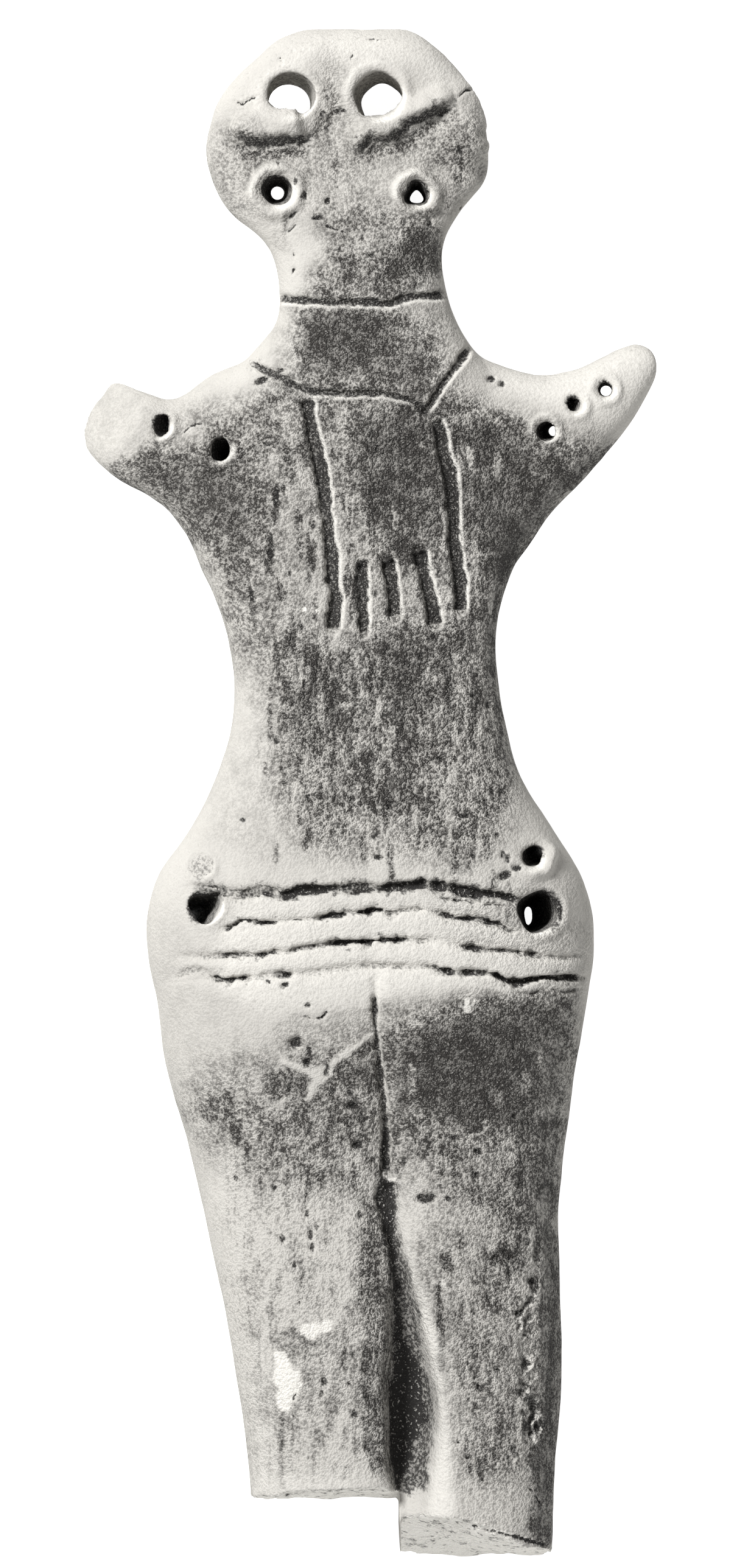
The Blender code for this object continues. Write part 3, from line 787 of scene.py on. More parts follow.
strokes = (
    ((-41, 257), (-37, 234), (-32, 212), (-29, 193), (-27, 171), (-24, 146), (-23, 124), (-23.5, 109)),
    ((-5, 152), (-4.6, 130), (-4.2, 106)), ((11, 153), (14.4, 135), (16, 117)),
    ((32, 159), (36, 140), (40, 124), (42, 112)),
    ((43, 244), (49, 218), (53, 195), (54.4, 171), (57.6, 143), (59, 121)),
)
neckLine = ((-60, 323), (-43, 321), (-23, 319.5), (-3, 320), (13, 319), (24, 323), (37, 324), (49, 325))
collarLine = ((-78, 282), (-75, 280), (-58, 271), (-42, 263), (-25, 261), (11, 260), (30, 254), (39, 245))
collarRise = ((35, 247), (46, 265), (56, 279), (65, 292))

# Each belt line, its width, and how strongly it is cut at places from left to right
belt = (
    ((
        (-116, -60), (-96, -61), (-83, -63), (-73, -61), (-62, -62), (-57, -64), (-47, -61), (-27, -59),
        (5, -59), (16, -58), (36, -56), (44, -57), (56, -60), (72, -62), (88, -65), (95, -68),
    ), 1.2825, (
        (-120, 0.15), (-96, 0.7), (-72, 0.7), (-60, 0.4), (-55, 0.9), (-45, 1.1), (0, 1.0), (4, 0.4),
        (12, 1.0), (34, 0.9), (36, 0.4), (44, 1.0), (50, 0.6), (56, 1.3), (92, 1.3),
    )),
    ((
        (42, -65), (56, -67), (68, -68), (78, -70), (88, -70),
    ), 0.475, ((42, 0.3), (50, 0.7), (85, 0.7), (90, 0.3))),
    ((
        (-96, -86), (-88, -83), (-84, -80), (-71, -81), (-59, -81), (-47, -79), (-40, -79), (-27, -77),
        (-18, -76), (-7, -75), (7, -73), (12, -75), (21, -73), (36, -73), (44, -75), (56, -78), (68, -79),
        (78, -81), (84, -83), (88, -86), (96, -87),
    ), 0.7125, (
        (-96, 0.5), (-84, 0.9), (-60, 0.8), (-56, 0.3), (-46, 0.6), (-38, 0.4), (-30, 1.0), (-18, 1.1),
        (-14, 0.4), (-7, 1.1), (6, 1.0), (9, 0.3), (13, 1.0), (20, 0.8), (26, 0.4), (40, 0.4), (48, 0.7),
        (66, 0.8), (70, 0.4), (78, 1.0), (84, 0.6), (96, 0.9),
    )),
    ((
        (-124, -103), (-98, -103), (-86, -102), (-73, -102), (-61, -100), (-53, -100), (-47, -98),
        (-38, -97), (-29, -95), (-18, -94), (5, -93), (21, -92), (35, -93), (42, -92), (54, -95), (62, -97),
        (76, -99), (94, -100), (103, -102), (123, -104), (138, -103),
    ), 0.76, (
        (-124, 0.1), (-100, 0.3), (-86, 0.8), (-62, 0.9), (-56, 0.3), (-46, 0.6), (-37, 0.7), (-34, 0.4),
        (-25, 0.7), (-18, 1.15), (5, 1.15), (20, 0.9), (27, 0.2), (33, 0.7), (38, 0.3), (48, 0.05),
        (57, 0.2), (62, 0.8), (76, 0.8), (94, 0.8), (98, 0.3), (104, 0.8), (112, 0.4), (138, 0.35),
    )),
    ((
        (-126, -116), (-110, -112), (-102, -117), (-92, -118), (-83, -117), (-75, -117), (-59, -115),
        (-43, -114), (-19, -111), (5, -109), (24, -110), (34, -109), (44, -111), (52, -113), (61, -113),
        (75, -114), (81, -115), (88, -119), (100, -119), (111, -117), (123, -117), (136, -117),
    ), 0.855, (
        (-126, 0.2), (-112, 0.4), (-104, 0.3), (-95, 0.7), (-82, 0.7), (-74, 0.2), (-62, 0.4), (-54, 0.8),
        (-49, 0.2), (-38, 0.35), (-18, 0.2), (8, 0.4), (22, 0.3), (32, 0.2), (44, 0.6), (50, 1.0),
        (56, 0.3), (62, 0.9), (78, 0.7), (83, 1.35), (110, 1.3), (136, 1.1),
    )),
    (((91, -125), (105, -127), (114, -124), (124, -126), (136, -124)), 0.475, ((91, 0.4), (136, 0.35))),
)
furrows = (
    ((-120, -61), (-60, -62), (0, -60), (45, -58), (92, -68)),
    ((-96, -86), (-60, -81), (0, -74), (40, -74), (96, -88)),
    ((-130, -104), (-60, -101), (5, -94), (45, -94), (94, -101), (139, -104)),
    ((-130, -115), (-60, -116), (5, -110), (45, -112), (88, -119), (139, -117)),
)
# The line between the thighs: path, widths at its ends, depth, soil, how bare its lit wall is, crumbs
legLines = (
    (((4.6, -113), (3.6, -124), (3, -134)), (0.8, 0.7), 0.2, 0.0, 0.42, 0.0),
    ((
        (2.6, -128), (3, -142), (4.5, -157), (6.1, -173), (8, -190), (9, -206),
    ), (0.7, 0.9), 0.65, 0.85, 0.3, 0.51),
    (((9, -204), (9.8, -216), (10.2, -230), (10.2, -243)), (0.9, 1.1), 0.95, 1.0, 0.18, 0.6),
)

# Each roll's path, how wide it rises and drops, its height, the painted shade at its foot away from the
# light, its seed
rolls = (
    # under the left eye
    (((-89, 439), (-83, 433), (-75, 430), (-63, 430), (-51, 431), (-41, 433)), 3.2, 1.9, 1.75, 0.75, 21),
    # beside the left eye
    (((-45, 432), (-36, 436), (-30, 443), (-28, 450), (-29, 457), (-33, 465)), 1.0, 1.0, 0.4, 0.45, 23),
    # under the right eye
    ((
        (-12, 416), (-7, 424), (-3, 429), (5, 430), (12, 431), (18, 435), (25, 441), (32, 446), (40, 449),
        (54, 456),
    ), 2.2, 1.9, 1.6, 0.75, 22),
)

# Painted shade in the steps under the ridges, cut a little and dark with the soil colour: path, width, depth
ridgeShades = (
    (((-90, 432), (-84, 427), (-74, 424.5), (-63, 424), (-53, 425), (-43, 426), (-36, 429)), 1.5, 0.35),
    (((-32, 462), (-28, 455), (-28, 448), (-32, 440), (-36, 432)), 0.8, 0.25),
    (((-34, 431), (-31, 436), (-27, 440), (-23, 442), (-17, 443)), 0.4, 0.2),
    ((
        (-8, 413), (-6, 418), (-3, 423), (1, 426), (9, 425), (16, 428), (22, 433), (28, 437.5), (34, 440),
        (40, 442.5), (48, 446), (55, 450),
    ), 1.5, 0.45),
)

# Pits and small knocks: place, reach in millimetres, turn, depth
pits = (
    ((-42.5, 390), (0.2, 0.5), 10, 0.4), ((-28, 386), (0.45, 0.35), 45, 0.3),
    ((-21.5, 395.5), (0.2, 0.15), 0, 0.2), ((-9, 427), (0.2, 0.15), 0, 0.2),
    ((-50.5, 377), (0.2, 0.6), -55, 0.3), ((-34, 375.5), (0.5, 0.3), 0, 0.2),
    ((0.6, 351), (0.35, 0.3), 0, 0.25), ((-20, 445), (0.7, 0.25), 0, 0.2),
    ((78, 271), (0.45, 0.35), 0, 0.2), ((85, 268), (0.35, 0.35), 0, 0.2),
    ((-58, 276), (0.35, 0.25), 0, 0.3), ((-71, 269.5), (0.9, 0.35), 20, 0.4),
    ((-168, 242), (0.4, 0.14), 60, 0.15), ((-172, 256), (0.12, 0.12), 0, 0.1),
    ((-100, 180), (0.3, 0.25), 0, 0.3), ((61, -12), (0.65, 0.3), 10, 0.4), ((3, -25), (0.5, 0.3), 40, 0.3),
    ((5, -39), (0.55, 0.25), 0, 0.3), ((-66, -119), (0.2, 0.3), 60, 0.2),
    ((-55, -121), (0.5, 0.28), 25, 0.35), ((-40, -134), (0.35, 0.25), 10, 0.3),
    ((-48, -158), (0.75, 0.6), 20, 0.6), ((-41, -171), (0.4, 0.45), 0, 0.5),
    ((-12, -200), (0.75, 0.45), 0, 0.5), ((-4, -208), (0.5, 0.3), 30, 0.3),
    ((-8.5, -225), (0.6, 0.5), 0, 0.5), ((29, -222), (0.15, 0.35), 0, 0.3),
    ((54, -220), (0.6, 0.3), 0, 0.15), ((69, -229), (0.45, 0.35), 0, 0.4),
    ((36, -259), (1.1, 0.55), 5, 0.5), ((50, -259), (0.35, 0.3), 0, 0.3),
    ((-62, -252), (0.3, 0.25), 0, 0.25), ((68, -244), (0.18, 0.5), -20, 0.3),
    ((82, -369), (0.28, 0.16), 20, 0.4), ((69, -380), (0.14, 0.5), -10, 0.25),
    ((63, -388), (0.15, 0.3), -20, 0.25), ((72, -440), (0.14, 0.28), -15, 0.3),
    ((-82, -15), (0.3, 0.25), 0, 0.15), ((-49, -302), (0.25, 0.3), 0, 0.15),
    ((86, -51), (0.8, 0.45), 20, 0.4), ((94, -46), (0.5, 0.35), 0, 0.3), ((45, 24), (0.4, 0.3), 0, 0.3),
    ((78, 3), (0.25, 0.5), 0, 0.2), ((-99, -116), (0.3, 0.2), 0, 0.3), ((-53, -115), (0.5, 0.25), 20, 0.4),
    ((62, -426), (0.25, 0.2), 0, 0.25), ((56, -416), (0.3, 0.2), 20, 0.25),
    ((-61, 194), (0.28, 1.3), -4, 0.2), ((-64, 158), (0.25, 1.5), 3, 0.2),
    ((-77, 130), (0.25, 0.9), 8, 0.15),
)

# Outlined places where the skin is lost, pressed or crusted: outline, height, how bare, how dark, or how
# light if negative, how ragged
flakes = (
    # the pale scar on the left thigh, and the planes beside it
    ((
        (-60, -162), (-55, -169), (-47, -172), (-39, -175), (-32, -174), (-22, -167), (-10, -159),
        (1, -150), (2, -153), (-8, -162), (-19, -170), (-23, -174), (-23, -179), (-29, -183), (-35, -189),
        (-40, -197), (-42, -195), (-39, -188), (-37, -182), (-41, -179), (-48, -176), (-57, -172),
    ), 0.04, 0.26, -0.75, 0.2),
    ((
        (-63, -148), (-51, -140), (-37, -142), (-22, -137), (1, -136), (2, -145), (1, -151), (-22, -167),
        (-32, -174), (-47, -172), (-60, -162),
    ), -0.06, 0, 0.16, 0.3),
    ((
        (-25, -177), (-17, -170), (1, -154), (3, -171), (7, -192), (-7, -189), (-19, -183),
    ), -0.1, 0, 0.45, 0.1),
    ((
        (-68, -180), (-60, -177), (-48, -177), (-41, -180), (-39, -189), (-42, -195), (-51, -192),
        (-60, -197), (-66, -192),
    ), -0.08, 0, 0.5, 0.3),
    # the left leg, with its white places
    ((
        (-61, -351), (-58, -345), (-53, -343), (-45, -344), (-36, -351), (-31, -347), (-23, -344),
        (-19, -339), (-9, -337), (-7, -353), (-5, -373), (-7, -388), (-19, -398), (-43, -399), (-48, -396),
        (-46, -382), (-45, -375), (-48, -368), (-55, -360),
    ), -0.05, 0, 0.22, 0.5),
    ((
        (-45, -341), (-41, -339), (-35, -339), (-30, -336), (-25, -337), (-23, -339), (-25, -344),
        (-29, -346), (-33, -347), (-36, -350), (-39, -348), (-42, -346), (-45, -344),
    ), -0.02, 0.68, -0.6, 0.3),
    ((
        (-61, -357), (-56, -358), (-52, -364), (-50, -369), (-46, -371), (-45, -380), (-47, -386),
        (-50, -390), (-51, -396), (-50, -401), (-52, -399), (-56, -396), (-59, -394), (-61, -390),
        (-60, -382), (-63, -375), (-62, -365),
    ), -0.02, 0.68, -0.6, 0.3),
    ((
        (-25, -305), (-19, -304), (-11, -307), (-6, -311), (-5, -319), (-9, -325), (-17, -327), (-23, -323),
    ), 0.1, 0.1, -0.3, 0.2),
    # the right leg
    (((96, -350), (104, -352), (108, -372), (104, -384), (98, -382), (95, -365)), -0.25, 0.2, 0.2, 0.4),
    (((98, -330), (106, -328), (108, -345), (101, -348)), -0.25, 0.1, 0.3, 0.35),
    ((
        (64, -308), (68, -305), (75, -304), (81, -306), (91, -311), (96, -321), (94, -333), (80, -337),
        (68, -329),
    ), -0.1, 0, 0.25, 0.2),
    (((46, -293), (50, -294), (52, -291), (54, -297), (53, -305), (47, -305)), -0.06, 0, 0.45, 0.25),
    (((42, -314), (46, -313), (47, -325), (48, -343), (44, -344), (43, -333)), -0.06, 0, 0.6, 0.25),
    (((45, -311), (49, -311), (49, -316), (45, -316)), 0.05, 0.45, -0.4, 0.2),
    (((78, -297), (82, -293), (88, -291), (95, -297), (92, -300), (84, -301)), -0.3, 0, 0.75, 0.2),
    # the edge of the cleft
    (((-4, -351), (-1, -351), (-2, -372), (-5, -374)), -0.3, 0, 0.7, 0.15),
    (((-5, -380), (-1, -380), (1, -389), (-3, -390)), -0.35, 0, 0.8, 0.15),
    (((-4, -411), (1, -412), (5, -424), (1, -427), (-4, -420)), -0.25, 0, 0.6, 0.2),
    (((9, -245), (16, -246), (15, -249), (9, -248)), 0.1, 0.5, -0.6, 0.3),
    # bright nicks on the right thigh and the chest
    (((61, -130), (64, -131), (62, -139), (60, -138)), 0.05, 0.8, -0.8, 0.1),
    (((66, -131), (69, -129), (63, -140), (62, -139)), 0.05, 0.6, -0.6, 0.1),
    (((-44, 122), (-41, 122), (-41, 119), (-44, 119)), 0.05, 0.9, -0.8, 0.08),
    (((-36, 121), (-32, 121), (-33, 119), (-36, 119)), 0.05, 0.8, -0.8, 0.08),
    # the chin
    (((-62, 370), (-55, 364), (-51, 357), (-55, 352), (-62, 358)), 0, 0, 0.15, 0.3),
    (((-28, 354), (-19, 356), (-18, 347), (-28, 346)), 0, 0, 0.35, 0.2),
    # crusts at the heads of the strokes
    (((-10, 153), (-1, 154), (-1, 148), (-10, 148)), -0.15, 0, 0.8, 0.2),
    (((6, 155), (15, 156), (15, 148), (6, 148)), -0.15, 0, 0.8, 0.2),
    (((27, 162), (36, 163), (37, 150), (28, 149)), -0.15, 0, 0.8, 0.2),
    (((13, 163), (22, 164), (22, 158), (15, 157)), -0.1, 0, 0.7, 0.2),
)

# The broken edges of the flakes lost along the right leg: path, width
flakedEdges = (
    ((
        (110, -288), (109, -300), (108, -312), (107, -321), (103, -327), (99, -331), (96, -338), (97, -345),
    ), 0.715),
    (((104, -334), (101, -339), (100, -344)), 0.52),
    (((100, -359), (101, -367), (99, -375), (101, -382), (98, -387)), 0.65),
    ((
        (99, -386), (104, -390), (106, -397), (103, -405), (102, -413), (100, -421), (95, -425), (87, -427),
    ), 0.78),
    (((106, -392), (108, -402), (106, -412)), 0.585),
)
# Thin traces of soil, and three bands of painted shade: path, width, how dark
traces = (
    (((-64, -312), (-65, -330), (-63, -358)), 0.35, 0.35),
    (((-57, -399), (-58, -425), (-56, -450)), 0.5, 0.35),
    (((-63, -337), (-63, -322), (-58, -307), (-50, -297)), 0.45, 0.22),
    (((-15, -305), (-6, -317), (-9, -328), (-15, -335)), 0.5, 0.35),
    (((-48, -318), (-42, -305), (-26, -302), (-15, -305)), 0.4, 0.2),
    (((-50, -404), (-51, -425), (-51, -448)), 0.4, 0.35),
    (((-35, -402), (-36, -420), (-37, -436)), 0.5, 0.3), (((-6, -372), (-3, -384), (3, -399)), 0.9, 0.45),
    (((-4, -399), (-1, -415), (3, -438)), 1.0, 0.4), (((-17, -353), (-17, -362), (-16, -370)), 0.8, 0.4),
    (((-70, -330), (-72, -360), (-70, -390)), 0.3, 0.25),
    (((-82, -280), (-80, -320), (-76, -350)), 0.3, 0.2),
    (((-30, -262), (-28, -290), (-26, -300)), 0.4, 0.25), (((-62, 205), (-61, 190), (-62, 176)), 0.8, 0.8),
    (((-64, 168), (-65, 150), (-62, 138)), 0.7, 0.75), (((-48, 190), (-46, 170), (-45, 150)), 0.6, 0.5),
    (((-78, 138), (-76, 120), (-74, 104)), 0.7, 0.6), (((-34, 98), (-36, 80), (-34, 60)), 0.9, 0.6),
    (((20, 105), (22, 70), (19, 30)), 1.0, 0.75), (((-22, 78), (-24, 55), (-23, 35)), 0.7, 0.7),
    (((-12, 90), (-11, 60), (-13, 45)), 0.6, 0.6), (((48, 100), (50, 70), (47, 44)), 0.7, 0.6),
    (((66, 90), (67, 60), (64, 30)), 0.6, 0.65), (((-66, 60), (-64, 30), (-66, 8)), 0.4, 0.3),
    (((112, -150), (114, -190), (111, -230)), 0.7, 0.4),
    (((120, -170), (121, -200), (118, -240)), 0.4, 0.4), (((92, -160), (93, -190), (91, -214)), 0.5, 0.3),
    (((-88, -200), (-87, -225), (-84, -246)), 0.4, 0.35),
    (((-70, -212), (-71, -240), (-70, -262)), 0.4, 0.3),
    # painted shade where the right flank, the right arm's underside and the right leg's lower edge turn from
    # the light; the arm's is partly soil
    (((82, 134), (77, 100), (77, 70), (86, 32)), 1.3, 0.45),
    (((84, 140), (92, 170), (108, 192), (130, 208), (152, 222), (166, 234)), 2.6, 0.5),
    (((104, -400), (108, -430), (111, -455), (113, -480)), 1.3, 0.4),
    (((112, -340), (115, -380), (112, -420)), 0.6, 0.5),
    (((118, -300), (119, -340), (117, -372)), 0.5, 0.45),
    (((108, -430), (110, -450), (107, -478)), 0.6, 0.45), (((44, -330), (46, -350), (45, -372)), 0.8, 0.4),
    (((56, -300), (58, -330), (55, -352)), 0.5, 0.25), (((70, -400), (72, -420), (69, -440)), 0.4, 0.25),
)
cracks = (
    ((54, 453), (58, 455), (61, 458), (66, 459)), ((-2, 492), (5, 491), (10, 492)),
    ((-59, 481), (-58, 477)), ((-11, 482), (-13, 478)),
    ((-38, 374.5), (-33, 374), (-27, 369), (-20, 367), (-11, 364), (-8, 366), (-10, 360)),
    ((-48, 371), (-51, 368), (-54, 365.5)), ((-88, 452), (-83, 449), (-80, 451), (-74, 454)),
    ((-50, 353.6), (-49, 348)), ((-49, 343), (-51, 339)), ((-70, 229), (-65, 227), (-57, 223)),
    ((-122, 235), (-116, 240), (-108, 242)), ((26, -206), (30, -204.5), (35, -206), (41, -210)),
    ((62, -216), (68, -217), (75, -213)), ((-43, -141), (-36, -143), (-30, -141), (-28, -137)),
    ((-47, -383), (-50, -389), (-51, -396), (-49, -401)), ((97, -346), (105, -351)),
    ((96, -366), (102, -369), (104, -377)), ((97, -378), (104, -382), (107, -384)),
    ((101, -446), (104, -448), (107, -453), (111, -459), (113, -464)),
)

# Low swellings and hollows left by the maker's fingers: place, reach, height
swellings = (
    ((61, 419), (2.0, 2.6), 0.85), ((66, 441), (1.8, 3.2), 0.6), ((40, 424), (5, 4), -0.45),
    ((63, 408), (3, 1.4), -0.6), ((-24, 450), (1.4, 5.5), -0.35), ((-75, 448), (4.2, 2.6), 0.45),
    ((73, 430), (0.7, 0.5), -0.5), ((-74, 417), (4, 3), -0.3), ((-117, 236), (2.6, 1.8), 0.4),
    ((20, 372), (3.5, 4.0), -0.25), ((-24, 351), (1.6, 1.4), 0.18), ((0, 285), (9.0, 4.5), -0.3),
    ((-40, 300), (4.0, 4.0), 0.22), ((50, 290), (3.4, 4.0), 0.22), ((10, 60), (9, 12), -0.25),
    ((-60, 100), (3.0, 10), 0.25), ((64, 80), (3.0, 12), 0.2), ((-60, 10), (8, 8), 0.3),
    ((30, -20), (10, 5), 0.35), ((-60, -150), (8, 6), 0.5), ((70, -140), (9, 5), 0.35),
    ((75, -190), (9, 9), -0.35), ((-30, -200), (5, 9), -0.3), ((-70, -300), (4, 16), 0.3),
    ((-40, -380), (4, 16), -0.2), ((80, -330), (7, 14), -0.25), ((90, -440), (6, 8), 0.25),
    ((140, 262), (7, 3.0), 0.3), ((94, 205), (2.4, 6.0), -0.45), ((-109, -45), (1.7, 1.7), 0.25),
    ((48, -415), (1.6, 14), 0.3),
)

# The clay pushed up around each hole: place, radius of the hole, width and height, how far it goes all round
rims = (
    ((-52, 455), 2.5, 1.0, 0.3, 0.4), ((5, 455), 2.5, 1.3, 0.34, 0.6), ((-60.5, 393), 1.6, 1.5, 0.75, 0.9),
    ((30, 391), 1.35, 1.3, 0.7, 0.9), ((-136, 240), 1.1, 0.9, 0.5, 0.1), ((-98, 225), 1.25, 1.1, 0.6, 0.1),
    ((114, 237), 1.05, 0.9, 0.42, 0.6), ((133, 254), 0.95, 0.8, 0.32, 0.3),
    ((152, 264), 0.95, 0.9, 0.36, 0.7), ((-106, -71), 1.6, 0.7, 0.18, 0.2),
    ((108, -74), 2.3, 1.1, 0.25, 0.2), ((104, -39), 1.0, 1.5, 0.8, 0.1),
)
filledHole = (-109, -45)

# Painted shade and soil in the hollow between the legs: the gritty start of it, its slopes and its core
shadedGritHollow = ((4, -250), (15, -249), (17, -262), (16.5, -276), (14, -290), (9, -280), (5, -262))
cleftShadeGrit = (
    (11, -268), (16, -273), (20, -288), (24, -305), (28, -324), (32, -341), (33, -353), (36, -368),
    (41, -380), (43, -397), (41, -414), (38, -433), (36, -448), (26, -451), (16, -450), (13, -424),
    (16, -351), (13, -302),
)
cleftShadeCore = (
    (5, -247), (6, -271), (9, -290), (12, -310), (15, -327), (15, -346), (14, -361), (12, -380), (11, -399),
    (11, -419), (14, -438), (16, -448), (20, -449), (23, -443), (26, -433), (28, -424), (32, -414),
    (36, -404), (36, -390), (33, -375), (29, -363), (24, -351), (21, -334), (18, -314), (17, -298),
    (15, -278), (16, -264), (15, -248),
)
leftBreakEdge = ((-56, -451), (-44, -450.5), (-32, -449.5), (-20, -448.5), (-4, -448), (10, -448.5))
rightBreakEdge = ((48, -465), (60, -467.5), (78, -473), (92, -477), (103, -480.5), (114, -484.5))
# The neck's right facet, turned from the light: cut a little and darkened with painted shade
neckShadePlane = (
    (7, 336), (16, 352), (24, 365), (28, 370), (45, 370), (46, 356), (46, 342), (40, 338), (28, 340),
    (18, 335),
)

# Old stains of the soil, and on the face some painted shade: outline, how soft its edge is in millimetres,
# how dark, how ragged
stains = (
    # breast and belly
    ((
        (-45, 318), (20, 322), (42, 320), (50, 300), (50, 280), (60, 262), (75, 252), (95, 246), (120, 241),
        (150, 232), (165, 222), (125, 180), (112, 160), (92, 130), (95, 60), (100, 15), (92, -10),
        (72, -34), (50, -40), (20, -36), (2, -24), (-20, -36), (-42, -28), (-52, 0), (-62, 30), (-70, 70),
        (-86, 95), (-104, 140), (-120, 160), (-150, 190), (-185, 200), (-165, 222), (-140, 236),
        (-118, 238), (-102, 248), (-83, 258), (-67, 267), (-55, 284), (-52, 304),
    ), 2.6, 0.52, 0.8),
    # the breast's right half
    ((
        (-6, 252), (60, 256), (85, 238), (105, 228), (132, 222), (118, 190), (100, 150), (84, 110),
        (66, 130), (58, 165), (20, 150), (0, 165), (-8, 200),
    ), 2.4, 0.56, 0.7),
    # under the left arm
    ((
        (-160, 222), (-120, 226), (-95, 214), (-74, 190), (-72, 160), (-86, 155), (-104, 170), (-125, 180),
        (-165, 205),
    ), 2.0, 0.5, 0.7),
    # between the neck line and the collar
    ((
        (-46, 316), (-20, 319), (5, 315), (22, 308), (40, 296), (46, 280), (36, 262), (10, 268), (-30, 270),
        (-48, 284),
    ), 1.6, 0.56, 0.5),
    (((-44, 314), (-20, 317), (6, 313), (16, 300), (4, 284), (-28, 280), (-44, 292)), 1.6, 0.55, 0.5),
    # above the neck line
    ((
        (-34, 378), (-14, 384), (12, 384), (34, 378), (46, 362), (46, 335), (44, 322), (-44, 322),
        (-40, 338), (-30, 350),
    ), 2.2, 0.42, 0.7),
    (((-34, 342), (-10, 352), (20, 350), (22, 326), (10, 320), (-40, 320)), 1.8, 0.45, 0.6),
    # belly, with a darker streak
    (((-50, 106), (40, 108), (70, 90), (64, 20), (30, -4), (0, 0), (-26, 24), (-48, 48)), 2.4, 0.1, 0.8),
    (((12, 118), (28, 118), (30, 40), (26, -6), (12, -6), (14, 60)), 1.4, 0.42, 0.6),
    # left side of the waist
    (((-92, 120), (-50, 110), (-46, 60), (-62, 20), (-72, 60)), 2.4, 0.15, 0.8),
    # right thigh
    ((
        (10, -158), (30, -148), (60, -134), (90, -128), (132, -124), (135, -179), (130, -218), (124, -262),
        (100, -262), (60, -262), (36, -254), (14, -252), (8, -234), (6, -194),
    ), 2.4, 0.66, 0.8),
    ((
        (14, -164), (40, -154), (70, -144), (110, -142), (114, -190), (108, -214), (60, -214), (24, -202),
    ), 2.2, 0.9, 0.7),
    # left thigh
    ((
        (4, -146), (-20, -152), (-40, -160), (-70, -160), (-94, -172), (-110, -186), (-116, -204),
        (-104, -226), (-84, -244), (-64, -262), (-40, -254), (-14, -262), (8, -270), (6, -200),
    ), 2.8, 0.4, 0.8),
    ((
        (4, -160), (-20, -170), (-44, -182), (-66, -186), (-80, -205), (-70, -240), (-50, -246),
        (-10, -246), (6, -240),
    ), 2.4, 0.36, 0.8),
    # inner side of the left leg, and its front
    ((
        (-6, -262), (12, -266), (16, -300), (18, -353), (14, -371), (13, -408), (16, -432), (14, -446),
        (2, -436), (-6, -408), (-8, -384), (-5, -353), (-7, -321),
    ), 1.0, 0.62, 0.6),
    ((
        (-34, -320), (-8, -322), (-8, -408), (-30, -404), (-44, -392), (-66, -396), (-62, -372),
        (-40, -372), (-38, -340),
    ), 1.8, 0.03, 0.8),
    # left side of the waist, the hip and the outer side of the leg
    ((
        (-92, 112), (-66, 100), (-56, 40), (-40, -40), (-60, -50), (-110, -30), (-100, 20), (-84, 60),
    ), 2.6, 0.15, 0.9),
    ((
        (-150, -70), (-120, -80), (-80, -140), (-92, -200), (-100, -280), (-70, -440), (-90, -440),
        (-140, -200),
    ), 3.0, 0.1, 0.9),
    # between the eyes
    (((-32, 480), (-20, 482), (-16, 440), (-30, 440)), 1.4, 0.2, 0.6),
    # round the flakes of the left leg and thigh
    (((-59, -345), (-49, -343), (-38, -348), (-34, -355), (-42, -366), (-56, -363)), 0.15, 0.2, 0.2),
    (((-67, -182), (-56, -177), (-42, -182), (-42, -190), (-53, -198), (-64, -194)), 0.3, 0.35, 0.3),
    # right leg
    ((
        (34, -262), (60, -256), (124, -256), (120, -300), (112, -360), (104, -410), (92, -440), (70, -436),
        (62, -420), (56, -380), (50, -340), (42, -300),
    ), 2.4, 0.37, 0.8),
    # the flaked strip along its right edge
    ((
        (107, -285), (115, -270), (124, -295), (124, -317), (127, -351), (126, -380), (123, -409),
        (121, -438), (119, -472), (117, -495), (110, -489), (103, -472), (103, -448), (101, -424),
        (104, -409), (106, -397), (100, -386), (100, -370), (99, -358), (97, -346), (96, -334), (107, -322),
        (109, -302),
    ), 0.5, 0.7, 0.4),
    # right end of the belt, and the thigh below it
    (((44, -58), (100, -60), (140, -90), (140, -112), (100, -108), (56, -98), (40, -80)), 1.6, 0.16, 0.8),
    (((6, -134), (30, -130), (70, -123), (130, -120), (134, -160), (60, -165), (10, -165)), 1.6, 0.42, 0.6),
    # face, partly painted shade below the two ridges
    ((
        (-90, 442), (-60, 440), (0, 436), (62, 436), (76, 410), (56, 384), (40, 368), (-60, 366),
        (-90, 392),
    ), 3.0, 0.12, 0.9),
    ((
        (-102, 436), (-84, 436), (-58, 424), (-66, 405), (-72, 380), (-92, 372), (-108, 400),
    ), 2.2, 0.34, 0.7),
    (((34, 428), (50, 440), (72, 444), (76, 420), (70, 404), (56, 402), (44, 414)), 1.8, 0.45, 0.7),
    (((56, 410), (72, 405), (60, 385), (40, 372), (26, 374), (34, 382), (46, 384)), 1.4, 0.25, 0.5),
)
